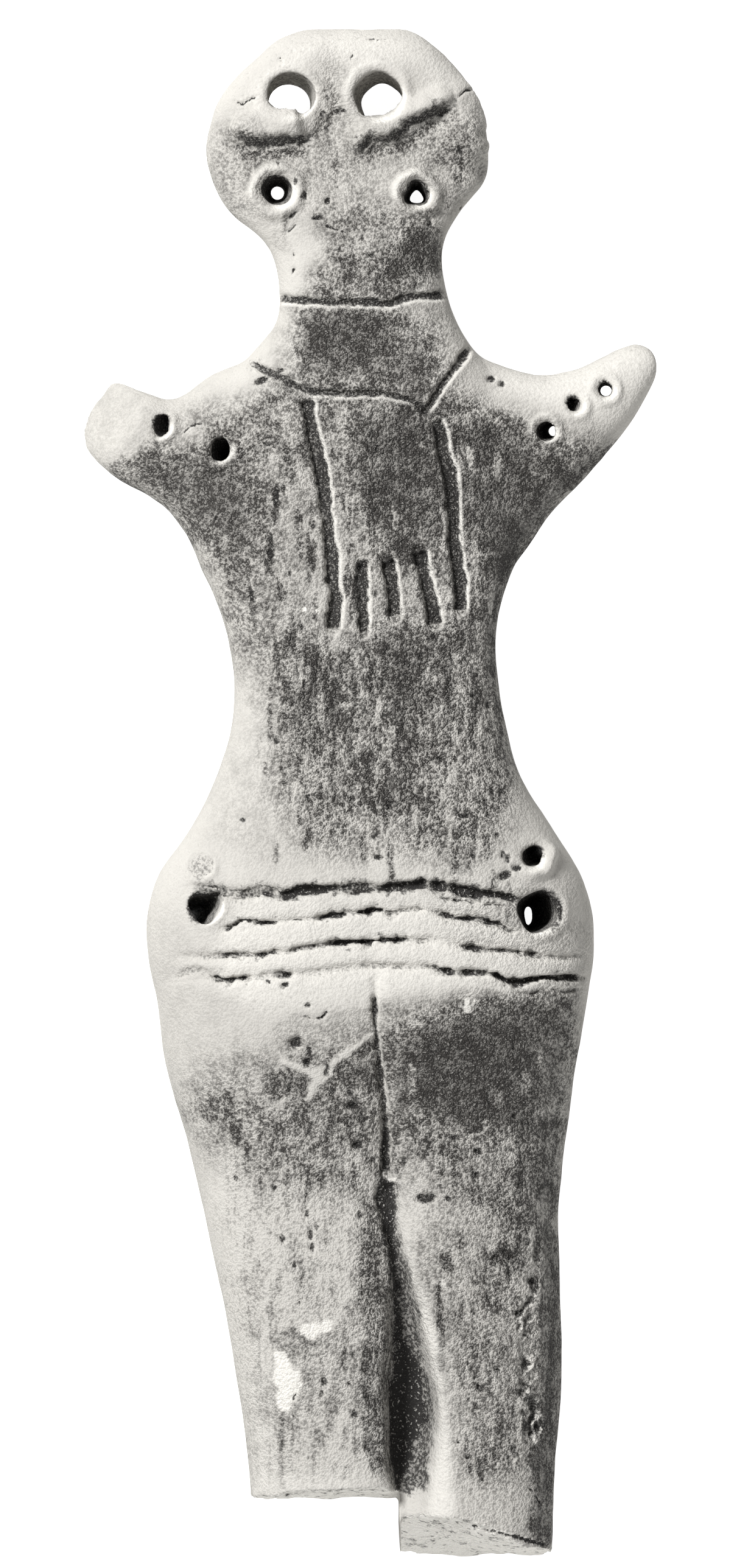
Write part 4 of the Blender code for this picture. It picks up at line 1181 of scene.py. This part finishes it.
# Darker and lighter blots over them: place, reach in millimetres, turn, how dark, or how light if negative
blots = (
    ((18.5, 164), (1.0, 0.8), 0, 0.6), ((32, 156), (1.1, 0.9), 0, 0.6), ((10, 191), (1.6, 1.2), 0, 0.35),
    ((12, -8), (3.4, 1.2), 0, 0.35), ((22, 230), (3.2, 5), 0, 0.55), ((-2, 215), (2.5, 4), 0, 0.3),
    ((-100, 205), (3.5, 3), -30, 0.4), ((-84, 175), (2.5, 4), 0, 0.3), ((85, 175), (2.8, 5), -10, 0.5),
    ((96, 205), (3, 4), -10, 0.4), ((82, 230), (3.5, 2.5), 20, 0.4), ((18, 178), (4, 5), 0, 0.25),
    ((-38, 92), (4, 4), 0, 0.35), ((-40, 50), (2.5, 5), 0, 0.35), ((62, 112), (2.4, 3), 0, 0.6),
    ((20, 90), (4, 4), 0, 0.3), ((40, 92), (4, 3), 0, 0.35), ((-30, 155), (4, 8), 0, -0.42),
    ((-22, 122), (3, 4), 0, -0.35), ((42, 125), (2.6, 4), 0, -0.3), ((10, 132), (3, 3), 0, -0.25),
    ((62, 135), (2.4, 4), 0, -0.25), ((-60, 175), (3, 5), 0, -0.15), ((-68, 70), (2.5, 8), 0, -0.25),
    ((2, -32), (2.6, 2.6), 0, -0.6), ((72, 50), (2.5, 6), 0, -0.1), ((60, -24), (4, 3), 0, 0.2),
    ((70, -34), (4, 2), 0, 0.12), ((-20, -28), (3, 2.4), 0, 0.25), ((-40, -12), (4, 3), 0, 0.05),
    ((-50, -188), (3.5, 2.6), 20, -0.35), ((-100, -195), (3.5, 3.5), 0, 0.25),
    ((-30, -210), (4, 2.5), 0, 0.3), ((-22, -232), (3.5, 2), 0, -0.25), ((60, -172), (6, 3.4), 0, 0.35),
    ((22, -232), (2.5, 3), 0, -0.3), ((82, -234), (3, 2), 0, -0.35), ((60, -244), (5, 2), 0, -0.2),
    ((102, -262), (2.4, 6), 0, 0.55), ((40, -272), (3, 3), 0, -0.5), ((26, -256), (2.6, 2.6), 0, -0.3),
    ((44, -312), (2, 6), 0, 0.3), ((87, -297), (2.2, 1.2), 10, 0.5), ((60, -316), (3, 2.4), 0, -0.3),
    ((74, -360), (4, 5), 0, 0.2), ((100, -340), (2, 5), 0, -0.3), ((84, -420), (4, 3), 0, 0.3),
    ((-62, -392), (2.4, 2.6), -20, 0.25), ((-54, -412), (0.8, 3), 0, 0.25),
    ((-40, -318), (1.2, 2.4), 20, 0.25), ((-74, -335), (0.5, 6), 0, 0.2), ((30, -312), (2, 3), 0, 0.2),
    ((0, 392), (7, 4), 0, 0.12), ((-20, 400), (3, 3), 0, 0.15), ((-20, 435), (3, 4), 0, 0.2),
    ((28, 350), (1.5, 2.5), 0, 0.3), ((36, 318), (2.5, 1.4), 0, -0.4), ((-80, 222), (3, 2), 0, 0.1),
    ((-122, 235), (2.2, 1.6), 0, -0.5), ((-100, 250), (5, 2), 10, 0.2), ((36, 410), (2, 3), 0, 0.2),
    ((-48, 412), (6, 2), 0, 0.15),
)
# Places worn pale, and one painted highlight: outline, softness, how pale
wornPale = (
    ((
        (-80, -62), (0, -62), (60, -62), (100, -86), (142, -98), (140, -110), (112, -126), (60, -126),
        (0, -132), (-30, -136), (-70, -138), (-100, -125), (-100, -86),
    ), 2.0, 0.34),
    (((-75, -432), (0, -432), (14, -444), (14, -462), (-80, -462)), 1.6, 0.26),
    ((
        (-84, 450), (-50, 486), (-20, 496), (30, 492), (66, 464), (40, 462), (30, 476), (-40, 478),
        (-72, 446),
    ), 2.4, 0.32),
    ((
        (-82, -345), (-66, -350), (-62, -380), (-60, -398), (-64, -440), (-78, -440), (-84, -390),
    ), 1.6, 0.22),
    # a painted highlight on the right leg's inner slope, which faces the light
    ((
        (21, -280), (24, -280), (28, -300), (35, -314), (41, -331), (45, -351), (47, -370), (49, -390),
        (52, -409), (54, -428), (55, -465), (35, -465), (36, -448), (39, -428), (44, -404), (42, -385),
        (37, -368), (33, -351), (31, -334), (26, -314),
    ), 0.8, 0.4),
    ((
        (72, 290), (110, 272), (150, 290), (190, 296), (182, 262), (156, 238), (135, 244), (110, 256),
        (84, 262),
    ), 2.0, 0.35),
)
# Places where the skin is rough and scraped along: outline, how rough
roughPlaces = (
    (((-100, -190), (-60, -250), (-10, -200), (10, -262), (12, -440), (-76, -450), (-90, -340)), 0.62),
    ((
        (14, -205), (60, -215), (124, -200), (126, -380), (118, -492), (60, -470), (30, -380), (16, -262),
    ), 0.55),
    ((
        (-60, 108), (-20, 100), (60, 106), (84, 60), (90, 0), (60, -45), (-30, -40), (-70, 0), (-66, 60),
    ), 0.65),
    (((-90, 240), (-20, 258), (70, 256), (100, 220), (84, 140), (40, 110), (-60, 110), (-90, 140)), 0.3),
    (((-36, 484), (-14, 484), (-14, 430), (-36, 430)), 0.35),
    (((-95, -60), (-100, -118), (60, -112), (140, -118), (140, -60), (40, -54)), 0.22),
    (((40, -50), (100, -50), (142, -100), (130, -116), (60, -104)), 0.35),
)

# Boxes over which flecks are strewn: left, right, lower and upper side, how many, how dark
strewn = (
    (-72, 84, -34, 250, 240, 0.7), (-90, 116, -250, -160, 90, 0.6), (56, 112, -430, -258, 80, 0.55),
    (-66, 4, -332, -262, 26, 0.3), (-38, 4, -430, -356, 22, 0.35), (-36, 42, 326, 374, 20, 0.4),
    (-70, 62, 380, 426, 24, 0.4), (50, 92, -60, -36, 10, 0.6),
)
# What is drawn for each fleck after its place, in this order
fleck = {
    "length": (5, 30),
    "lean": (-0.14, 0.14),
    "width": (0.35, 0.85),
    "dark": (0.4, 1.0),
    "pitReach": (0.14, 0.34),
    "pitDepth": (0.12, 0.30),
}


# Of each four flecks one is a small pit, and three are thin traces, one of them pale
def strewFlecks(face):
    chance = np.random.default_rng(77)
    for left, right, low, high, count, most in strewn:
        for i in range(count):
            start = np.array([chance.uniform(left, right), chance.uniform(low, high)])
            drawn = {name: chance.uniform(*limits) for name, limits in fleck.items()}
            if i % 4 == 0:
                reach = (drawn["pitReach"], drawn["pitReach"] * 1.6)
                patch(face, start, reach, height=-drawn["pitDepth"], soilAndShade=0.7, seed=700 + i)
                continue
            route = [start + drawn["length"] * step * np.array([drawn["lean"], -1]) for step in (0, 0.5, 1)]
            stainAndShade = drawn["dark"] * most * (-1 if i % 4 == 3 else 1)
            trace(face, route, drawn["width"], stainAndShade, seed=600 + i)


# Stains run over the sides too, so this serves the front and the back
def stainSkin(face):
    for outline, blur, stainAndShade, ragged in stains:
        plate(face, outline, blur, stainAndShade=stainAndShade, ragged=ragged, seed=400)
    for place, reach, turn, stainAndShade in blots:
        patch(face, place, reach, turn, stainAndShade=stainAndShade, edge=0.9, uneven=0.5, seed=420)
    for outline, blur, bareAndHighlight in wornPale:
        plate(face, outline, blur, bareAndHighlight=bareAndHighlight, ragged=0.5, seed=440)
    for i, (line, width, stainAndShade) in enumerate(traces):
        trace(face, line, width, stainAndShade, seed=500 + i)
    roughness = {**face, "stainAndShade": face["rough"]}  # roughness is laid as a stain is
    for outline, rough in roughPlaces:
        plate(roughness, outline, 2.0, stainAndShade=rough, ragged=0.9, seed=460)


def inciseAll(face, kind, lines, seed):
    for i, line in enumerate(lines):
        incise(face, line, seed=seed + i, **cuts[kind])


def carveFront(face):
    stainSkin(face)
    strewFlecks(face)
    for place, reach, height in swellings:
        patch(face, place, reach, height=height, edge=0.9, uneven=0.15)
    for numbers in rolls:
        roll(face, *numbers)
    # painted shade under the ridges
    for i, (line, width, depth) in enumerate(ridgeShades):
        incise(face, line, width, depth, seed=25 + i, **cuts["ridgeShade"])
    for numbers in rims:
        rim(face, *numbers)
    inciseAll(face, "neck", [neckLine], 31)
    inciseAll(face, "collar", [collarLine], 32)
    inciseAll(face, "collarRise", [collarRise], 33)
    inciseAll(face, "stroke", strokes, 40)
    inciseAll(face, "furrow", furrows, 60)
    for i, (line, width, strength) in enumerate(belt):
        incise(face, line, width, strength=strength, seed=50 + i, **cuts["belt"])
    for i, (line, widths, depth, soilAndShade, bareAndHighlight, crumbs) in enumerate(legLines):
        incise(face, line, widths, depth, soilAndShade=soilAndShade, bareAndHighlight=bareAndHighlight, crumbs=crumbs, seed=70 + i, **cuts["legLine"])
    # painted shade and soil in the hollow between the legs
    plate(face, shadedGritHollow, 0.3, height=-0.5, soilAndShade=0.9, ragged=0.25, seed=75)
    plate(face, cleftShadeGrit, 0.5, soilAndShade=0.66, ragged=0.45, seed=76)
    plate(face, cleftShadeCore, 0.5, soilAndShade=1.0, ragged=0.6, seed=77)
    for i, (outline, height, bareAndHighlight, stainAndShade, ragged) in enumerate(flakes):
        plate(face, outline, 0.12, height, bareAndHighlight=bareAndHighlight, stainAndShade=stainAndShade, ragged=ragged, seed=130 + i)
    for i, (line, width) in enumerate(flakedEdges):
        incise(face, line, width, seed=220 + i, **cuts["flakedEdge"])
    for i, (place, reach, turn, depth) in enumerate(pits):
        patch(face, place, reach, turn, height=-depth, soilAndShade=0.85, edge=0.45, uneven=0.3, seed=80 + i)
    inciseAll(face, "crack", cracks, 170)
    # painted shade, with soil, just above each break, where the front turns down away from the light
    for line, soilAndShade in ((leftBreakEdge, 0.75), (rightBreakEdge, 0.95)):
        incise(face, line, soilAndShade=soilAndShade, seed=192, **cuts["breakEdge"])
    # painted shade on the neck's right facet
    plate(face, neckShadePlane, 0.7, height=-0.30, stainAndShade=0.85, ragged=0.1, seed=193)
    patch(face, filledHole, (1.15, 1.15), height=-0.25, soilAndShade=0.35, edge=0.25, uneven=0.5, seed=190)
    rim(face, filledHole, 1.1, 0.7, 0.20, 0.3, bareAndHighlight=0.2)


# The back is plainer: its neck line and three belt lines run on from the front
def carveBack(face):
    reach, rise = 118, 5
    lines = [((-48, 323), (-6, 319), (38, 323))]
    for at in (-68, -92, -116):
        lines.append(((-reach, at), (-reach / 2, at + rise), (reach / 2, at + rise), (reach, at)))
    inciseAll(face, "backLine", lines, 200)


# What the hand leaves everywhere: height, size, seed, and how it is drawn out along the figure
handMarks = ((0.16, 9.0, 301, 1), (0.07, 3.2, 303, 1), (0.05, 1.1, 305, 0.14))


def unevenness(points):
    total = np.zeros(len(points))
    for height, size, seed, drawn in handMarks:
        total += height * clouds(points, size, seed, 2, (1, drawn, 1))
    return total


# Which points are at the front, and how far relief and soil with painted shade reach there: not round the
# sides
def sides(points, normals):
    across, along = points[:, :2].T * 1000 / idol["length"]
    isBody = (across > leftEdge(along)) & (across < rightEdge(along))
    middle = np.where(isBody, bodyMiddle(along), arms["middle"])
    isFront = points[:, 2] > middle
    return isFront, smoothStep(0.08, 0.35, np.abs(normals[:, 2]))


def carvedSides(points, normals, isFront):
    for side, chosen, carve in ((front, isFront, carveFront), (back, ~isFront, carveBack)):
        face = newFace(points[chosen], normals[chosen])
        carve(face)
        yield side, chosen, face


# Where what is painted changes from point to point, more triangles are kept
def markDetail(made, edges, paint):
    a, b = edges.T
    change = np.abs(paint[a] - paint[b]).sum(axis=1)
    detail = np.zeros(len(paint))
    np.maximum.at(detail, a, change)
    np.maximum.at(detail, b, change)
    detail = smoothStep(*modelling["detailFrom"], detail)
    for _ in range(2):
        wider = detail.copy()
        np.maximum.at(wider, a, modelling["detailSpread"] * detail[b])
        np.maximum.at(wider, b, modelling["detailSpread"] * detail[a])
        detail = wider
    plain = made.vertex_groups.new(name="plain")
    most = modelling["detailLevels"]
    levels = np.round((1 - modelling["detailShare"] * detail) * most).astype(int)
    for level in range(1, most + 1):
        plain.add(np.flatnonzero(levels == level).tolist(), level / most, "REPLACE")


def carveSurface(made):
    points, normals, edges = readPoints(made), readNormals(made), readEdges(made)
    isFront, reach = sides(points, normals)
    lift = unevenness(points)
    paint = np.zeros((len(points), 3))
    for side, chosen, face in carvedSides(points, normals, isFront):
        lift[chosen] += face["height"] * reach[chosen]
        paint[chosen] = np.column_stack([face["soilAndShade"], face["bareAndHighlight"], face["stainAndShade"]])
    points = points + normals * lift[:, None]
    points = relax(points, edges, modelling["settling"], 1)
    points[:, 2] = np.maximum(points[:, 2], 0)  # worn flat where it lies on the table
    writePoints(made, points)
    markDetail(made, edges, paint)
    print("surface carved")


backStain = {"least": 0.35, "clouded": 0.3, "size": 14.0, "rough": 0.4, "turn": (0.0, 0.8)}


# The front's stains run on over the sides and give way to the back's own, so that there is no seam
def stainBack(face):
    around = newFace(face["points"], face["normals"])
    stainSkin(around)
    under = smoothStep(*backStain["turn"], -face["normals"][:, 2])
    cloudy = clouds(face["points"], backStain["size"], 230, 3)
    behind = {
        "stainAndShade": backStain["least"] + backStain["clouded"] * cloudy,
        "rough": backStain["rough"],
        "bareAndHighlight": face["bareAndHighlight"],
    }
    for name, value in behind.items():
        face[name] = around[name] + (value - around[name]) * under


# Painted shade on the walls of the holes, less where they face the light; on the eyes the lit walls are
# cleared of dark
def paintHoles(layers, points, normals):
    lit = smoothStep(0.1, 0.7, -normals[:, :2] @ awayFromLight)
    for place, lean, mouth, exitWidth in holes.values():
        start, end = holeEnds(place, lean)
        t, away = fromSegment(points, end, start)
        radius = (exitWidth + (mouth - exitWidth) * t) / 2
        near = 1 - smoothStep(1.05, 1.4, np.linalg.norm(away, axis=1) / radius)
        wall = near * smoothStep(0.0, 0.06, 1 - t)
        isEye = mouth > piercing["eye"]
        shade = piercing["eyeShade" if isEye else "shade"]
        wall *= shade * (1 - piercing["eyeLightening" if isEye else "lightening"] * lit)
        layers["soilAndShade"] = np.maximum(layers["soilAndShade"] * (1 - lit * (wall > 0) * isEye), wall)


def paintBreaks(layers, points, normals):
    for broken in breaks.values():
        outward = np.array(broken["facing"]) / np.linalg.norm(broken["facing"])
        offset = points - np.array([*share(broken["place"]), broken["height"]])
        twisted = broken["twist"] * offset[:, 0] * offset[:, 2]
        onBreak = 1 - smoothStep(0.7, 1.1, np.abs(offset @ outward - twisted))
        onBreak *= normals @ outward > breakGrain["facing"]
        onBreak *= np.hypot(*offset[:, :2].T) < share(broken["width"]) / 2
        specks = smoothStep(0.05, 0.35, clouds(points, breakGrain["specks"], 340, 2))
        layers["soilAndShade"] += (specks * broken["specks"] - layers["soilAndShade"]) * onBreak
        for name in ("bareAndHighlight", "stainAndShade", "rough"):
            layers[name] += (broken[name] - layers[name]) * onBreak


# Soil with painted shade, bared clay with painted highlights, stains with painted shade and roughness
# go to the mesh as layers that the clay's material reads
def paintSurface(made):
    points, normals = readPoints(made), readNormals(made)
    isFront, reach = sides(points, normals)
    layers = {name: np.zeros(len(points)) for name in layerNames}
    for side, chosen, face in carvedSides(points, normals, isFront):
        if side == back:
            stainBack(face)
        for name in layerNames:
            layers[name][chosen] = face[name] * (reach[chosen] if name in ("soilAndShade", "bareAndHighlight") else 1)
    paintHoles(layers, points, normals)
    paintBreaks(layers, points, normals)
    for name, values in layers.items():
        layer = made.data.attributes.new(name, "FLOAT", "POINT")
        layer.data.foreach_set("value", np.clip(values, 0, 1).astype(np.float32))
    print("surface painted")


def finishMesh(made):
    count = sum(len(face.vertices) - 2 for face in made.data.polygons)
    fewer = made.modifiers.new("fewer triangles", "DECIMATE")
    fewer.ratio = modelling["triangles"] / count
    fewer.use_collapse_triangulate = True
    fewer.vertex_group = "plain"
    fewer.vertex_group_factor = modelling["keepDetail"]
    applied(made)
    print("triangles:", len(made.data.polygons))


def linear(hexColour):
    parts = [int(hexColour[i:i + 2], 16) / 255 for i in (1, 3, 5)]
    return (*[part / 12.92 if part <= 0.04045 else ((part + 0.055) / 1.055) ** 2.4 for part in parts], 1)


def addNode(tree, kind, settings=None, inputs=None):
    node = tree.nodes.new(kind)
    for name, value in (settings or {}).items():
        setattr(node, name, value)
    for name, value in (inputs or {}).items():
        socket = node.inputs[name]
        if isinstance(value, bpy.types.NodeSocket):
            tree.links.new(value, socket)
        else:
            socket.default_value = value
    return node


# Fired clay with sand in it: dull, its skin speckled as evenly in its grain as in its clouds, and streaked
# by the hand, with light bared grit, dark pinholes, and soil in what is cut. The soil colour also carries
# painted shade, the stained colour painted shade on faces turned from the light, and the bare colour
# painted highlights on walls and rims that face the light
firedClay = {
    "skin": "#c3c0ba",
    "stainedAndShaded": "#33302d",
    "bareAndHighlight": "#f0ede6",
    "soilAndShade": "#23211f",
    "roughness": 0.82,
    "ior": 1.5,
    "contrast": 0.05,  # how uneven clean skin is, in the share that goes from skin to stain
    "stainContrast": 0.62,
    "bumpHeight": 0.85,  # mm
    "turn": (0.7, 0.5, 0.9),  # so that no pattern lines up with the camera
    "handTurn": (0.0, 0.6, 0.05),
    "streakLength": 6.0,  # mm
    "wornEdge": (0.44, 0.56),
    "pinholes": (0.40, 0.28),
    "grit": (0.60, 0.70),
    "streaksEverywhere": 0.25,  # how much the streaks count where the skin isn't rough
    "mottled": (0.05, 0.6),  # stains from which the skin turns uneven, and at which it fully is
    "darkest": (0.6, 0.95),  # stains from which it turns calmer again, by the next share
    "calmer": 0.5,
    "thickSoil": (0.7, 1.0),
    # how strong each is on stains, on thick soil or rough skin, and everywhere
    "pinholeShares": (0.5, 0.15),
    "gritShares": (0.22, 0.35, 0.10),
    "bumpShares": (0.55, 0.3, 0.2),
    # where bared clay with painted highlights, and soil with painted shade, start and are full, and how far
    # the sand breaks up their edges
    "edges": {"bareAndHighlight": (0.10, 0.90, 0.5), "soilAndShade": (0.22, 0.78, 1.4)},
    "brokenEdge": (0.0, 0.2),
}
# Size in mm, detail and roughness of each pattern, and how much it counts in the unevenness and the relief
patterns = {
    "sand": {"size": 0.34, "detail": 1.5, "rough": 0.7, "uneven": 5.4, "relief": 1.9},
    "speckles": {"size": 0.85, "detail": 1.5, "rough": 0.6, "uneven": 1.7, "relief": 0.6},
    "wear": {"size": 2.4, "detail": 6.0, "rough": 0.75, "uneven": 0.65, "relief": -0.12},
    "streaks": {"size": 0.5, "detail": 2.0, "rough": 0.6, "uneven": 2.6, "relief": 0.4},
    "clouds": {"size": 3.2, "detail": 2.0, "rough": 0.6, "uneven": 0.9, "relief": 0.0},
}


def clayMaterial():
    material = bpy.data.materials.new("fired clay")
    material.use_nodes = True
    tree = material.node_tree
    shader = tree.nodes["Principled BSDF"]
    shader.inputs["Roughness"].default_value = firedClay["roughness"]
    shader.inputs["IOR"].default_value = firedClay["ior"]
    shader.inputs["Metallic"].default_value = 0.0

    def node(kind, settings=None, inputs=None):
        return addNode(tree, kind, settings, inputs)

    def math(operation, a, b, clamp=False):
        return node("ShaderNodeMath", {"operation": operation, "use_clamp": clamp}, {0: a, 1: b}).outputs[0]

    def add(a, b, clamp=False):
        return math("ADD", a, b, clamp)

    def times(a, b):
        return math("MULTIPLY", a, b)

    def mixed(amount, a, hexColour):
        inputs = {0: amount, 6: a, 7: linear(hexColour)}
        return node("ShaderNodeMix", {"data_type": "RGBA"}, inputs).outputs[2]

    def layer(name):
        return node("ShaderNodeAttribute", {"attribute_name": name}).outputs["Fac"]

    def pattern(name, where):
        look = patterns[name]
        scale = 1 / (look["size"] * milli)
        inputs = {"Vector": where, "Scale": scale, "Detail": look["detail"], "Roughness": look["rough"]}
        return node("ShaderNodeTexNoise", {}, inputs).outputs["Fac"]

    def turned(place, turn):
        return node("ShaderNodeMapping", {}, {"Vector": place, "Rotation": turn}).outputs[0]

    def spread(value, low, high):
        inputs = {"Value": value, "From Min": low, "From Max": high, "To Min": 0.0, "To Max": 1.0}
        return node("ShaderNodeMapRange", {"clamp": True}, inputs).outputs["Result"]

    def counted(found, name, counts):
        return times(math("SUBTRACT", found[name], 0.5), counts)

    place = node("ShaderNodeTexCoord").outputs["Object"]
    where = turned(place, firedClay["turn"])
    squeeze = (1, patterns["streaks"]["size"] / firedClay["streakLength"], 1)
    tilted = turned(place, firedClay["handTurn"])
    drawn = node("ShaderNodeVectorMath", {"operation": "MULTIPLY"}, {0: tilted, 1: squeeze}).outputs[0]
    found = {name: pattern(name, drawn if name == "streaks" else where) for name in patterns}
    found["wear"] = spread(found["wear"], *firedClay["wornEdge"])
    stainAndShade, rough = layer("stainAndShade"), layer("rough")
    sand = found["sand"]

    uneven = 0.0
    for name in ("wear", "clouds", "speckles", "sand"):
        uneven = add(uneven, counted(found, name, patterns[name]["uneven"]))
    streaked = times(add(rough, firedClay["streaksEverywhere"]), patterns["streaks"]["uneven"])
    uneven = add(uneven, counted(found, "streaks", streaked))
    calmed = math("SUBTRACT", 1.0, times(spread(stainAndShade, *firedClay["darkest"]), firedClay["calmer"]))
    worn = math("MAXIMUM", times(spread(stainAndShade, *firedClay["mottled"]), calmed), rough)
    amount = add(times(worn, firedClay["stainContrast"]), firedClay["contrast"])
    dark = add(stainAndShade, times(uneven, amount), True)
    colour = mixed(dark, linear(firedClay["skin"]), firedClay["stainedAndShaded"])
    onStain, everywhere = firedClay["pinholeShares"]
    pinholes = times(spread(sand, *firedClay["pinholes"]), add(times(stainAndShade, onStain), everywhere))
    colour = mixed(pinholes, colour, firedClay["soilAndShade"])
    for name, (low, high, breaking) in firedClay["edges"].items():
        amountHere = layer(name)
        gritty = counted(found, "sand", spread(amountHere, *firedClay["brokenEdge"]))
        edged = spread(add(amountHere, times(gritty, breaking)), low, high)
        colour = mixed(edged, colour, firedClay[name])
    onStain, onSoil, everywhere = firedClay["gritShares"]
    gritHere = add(times(stainAndShade, onStain), times(spread(layer("soilAndShade"), *firedClay["thickSoil"]), onSoil))
    grit = times(spread(sand, *firedClay["grit"]), add(gritHere, everywhere, True))
    colour = mixed(grit, colour, firedClay["bareAndHighlight"])
    tree.links.new(colour, shader.inputs["Base Color"])

    relief = 0.0
    for name in ("sand", "speckles", "wear", "streaks"):
        relief = add(relief, times(found[name], patterns[name]["relief"]))
    onStain, onRough, everywhere = firedClay["bumpShares"]
    strength = add(add(times(stainAndShade, onStain), times(rough, onRough)), everywhere, True)
    inputs = {"Height": relief, "Strength": strength, "Distance": firedClay["bumpHeight"] * milli}
    bump = node("ShaderNodeBump", {}, inputs)
    tree.links.new(bump.outputs["Normal"], shader.inputs["Normal"])
    return material


studio = {
    "cameraHeight": 1.0,
    "frameHeight": 0.1631,  # what the picture's long side covers at the idol's middle height
    "middleHeight": 0.008,
    "cameraAt": (-0.00057, 0.0013),
    "sensor": 36,  # mm
    "nearest": 0.05,
    "keyFrom": (-0.48, 0.46, 0.745),
    "lampDistance": 0.9,
    "keySize": 0.22,
    "keyPower": 10.7,
    "bounceFrom": (0.15, -0.93, 0.34),  # a pale board low at the foot
    "bounceSize": 0.5,
    "bouncePower": 2.6,
    "fill": 0.22,
    "floorHalf": 1.5,
    "floorColour": "#f2f2f0",
    "floorRoughness": 0.9,
    "floorGlow": 0.9,
}
white = (1, 1, 1, 1)


def setStudio():
    scene = bpy.context.scene
    camera = bpy.data.objects.new("camera", bpy.data.cameras.new("camera"))
    camera.data.sensor_width = studio["sensor"]
    camera.data.lens = studio["sensor"] * studio["cameraHeight"] / studio["frameHeight"]
    camera.data.clip_start = studio["nearest"]
    camera.location = (*studio["cameraAt"], studio["middleHeight"] + studio["cameraHeight"])
    scene.collection.objects.link(camera)
    scene.camera = camera

    for name, place in (("soft key", "key"), ("weak bounce", "bounce")):
        direction = Vector(studio[place + "From"]).normalized()
        lamp = bpy.data.lights.new(name, "AREA")
        lamp.shape = "DISK"
        lamp.size = studio[place + "Size"]
        lamp.energy = studio[place + "Power"]
        light = bpy.data.objects.new(name, lamp)
        light.location = direction * studio["lampDistance"]
        light.rotation_euler = direction.to_track_quat("Z", "Y").to_euler()
        scene.collection.objects.link(light)

    world = bpy.data.worlds.new("pale room")
    scene.world = world
    world.use_nodes = True
    background = world.node_tree.nodes["Background"]
    background.inputs["Color"].default_value = white
    background.inputs["Strength"].default_value = studio["fill"]
    scene.view_settings.view_transform = "Standard"
    print("studio set")


def layFloor():
    mesh = bmesh.new()
    bmesh.ops.create_grid(mesh, x_segments=1, y_segments=1, size=studio["floorHalf"])
    floor = newObject("pale floor", mesh)
    material = bpy.data.materials.new("matt white board")
    material.use_nodes = True
    shader = material.node_tree.nodes["Principled BSDF"]
    shader.inputs["Base Color"].default_value = linear(studio["floorColour"])
    shader.inputs["Roughness"].default_value = studio["floorRoughness"]
    shader.inputs["Emission Color"].default_value = white
    shader.inputs["Emission Strength"].default_value = studio["floorGlow"]
    floor.data.materials.append(material)
    lit = bpy.data.collections.new("lit by the floor")
    lit.objects.link(floor)
    floor.light_linking.receiver_collection = lit  # the board's glow whitens only the board


def makeIdol():
    made = modelLump()
    pierceAndBreak(made)
    carveSurface(made)
    finishMesh(made)
    paintSurface(made)
    made.data.transform(Matrix.Scale(milli, 4))
    made.data.shade_smooth()
    made.data.materials.clear()
    made.data.materials.append(clayMaterial())
    made.name = "idol_clay"
    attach(made, "root")
    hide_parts("idol")


makeIdol()
layFloor()
setStudio()
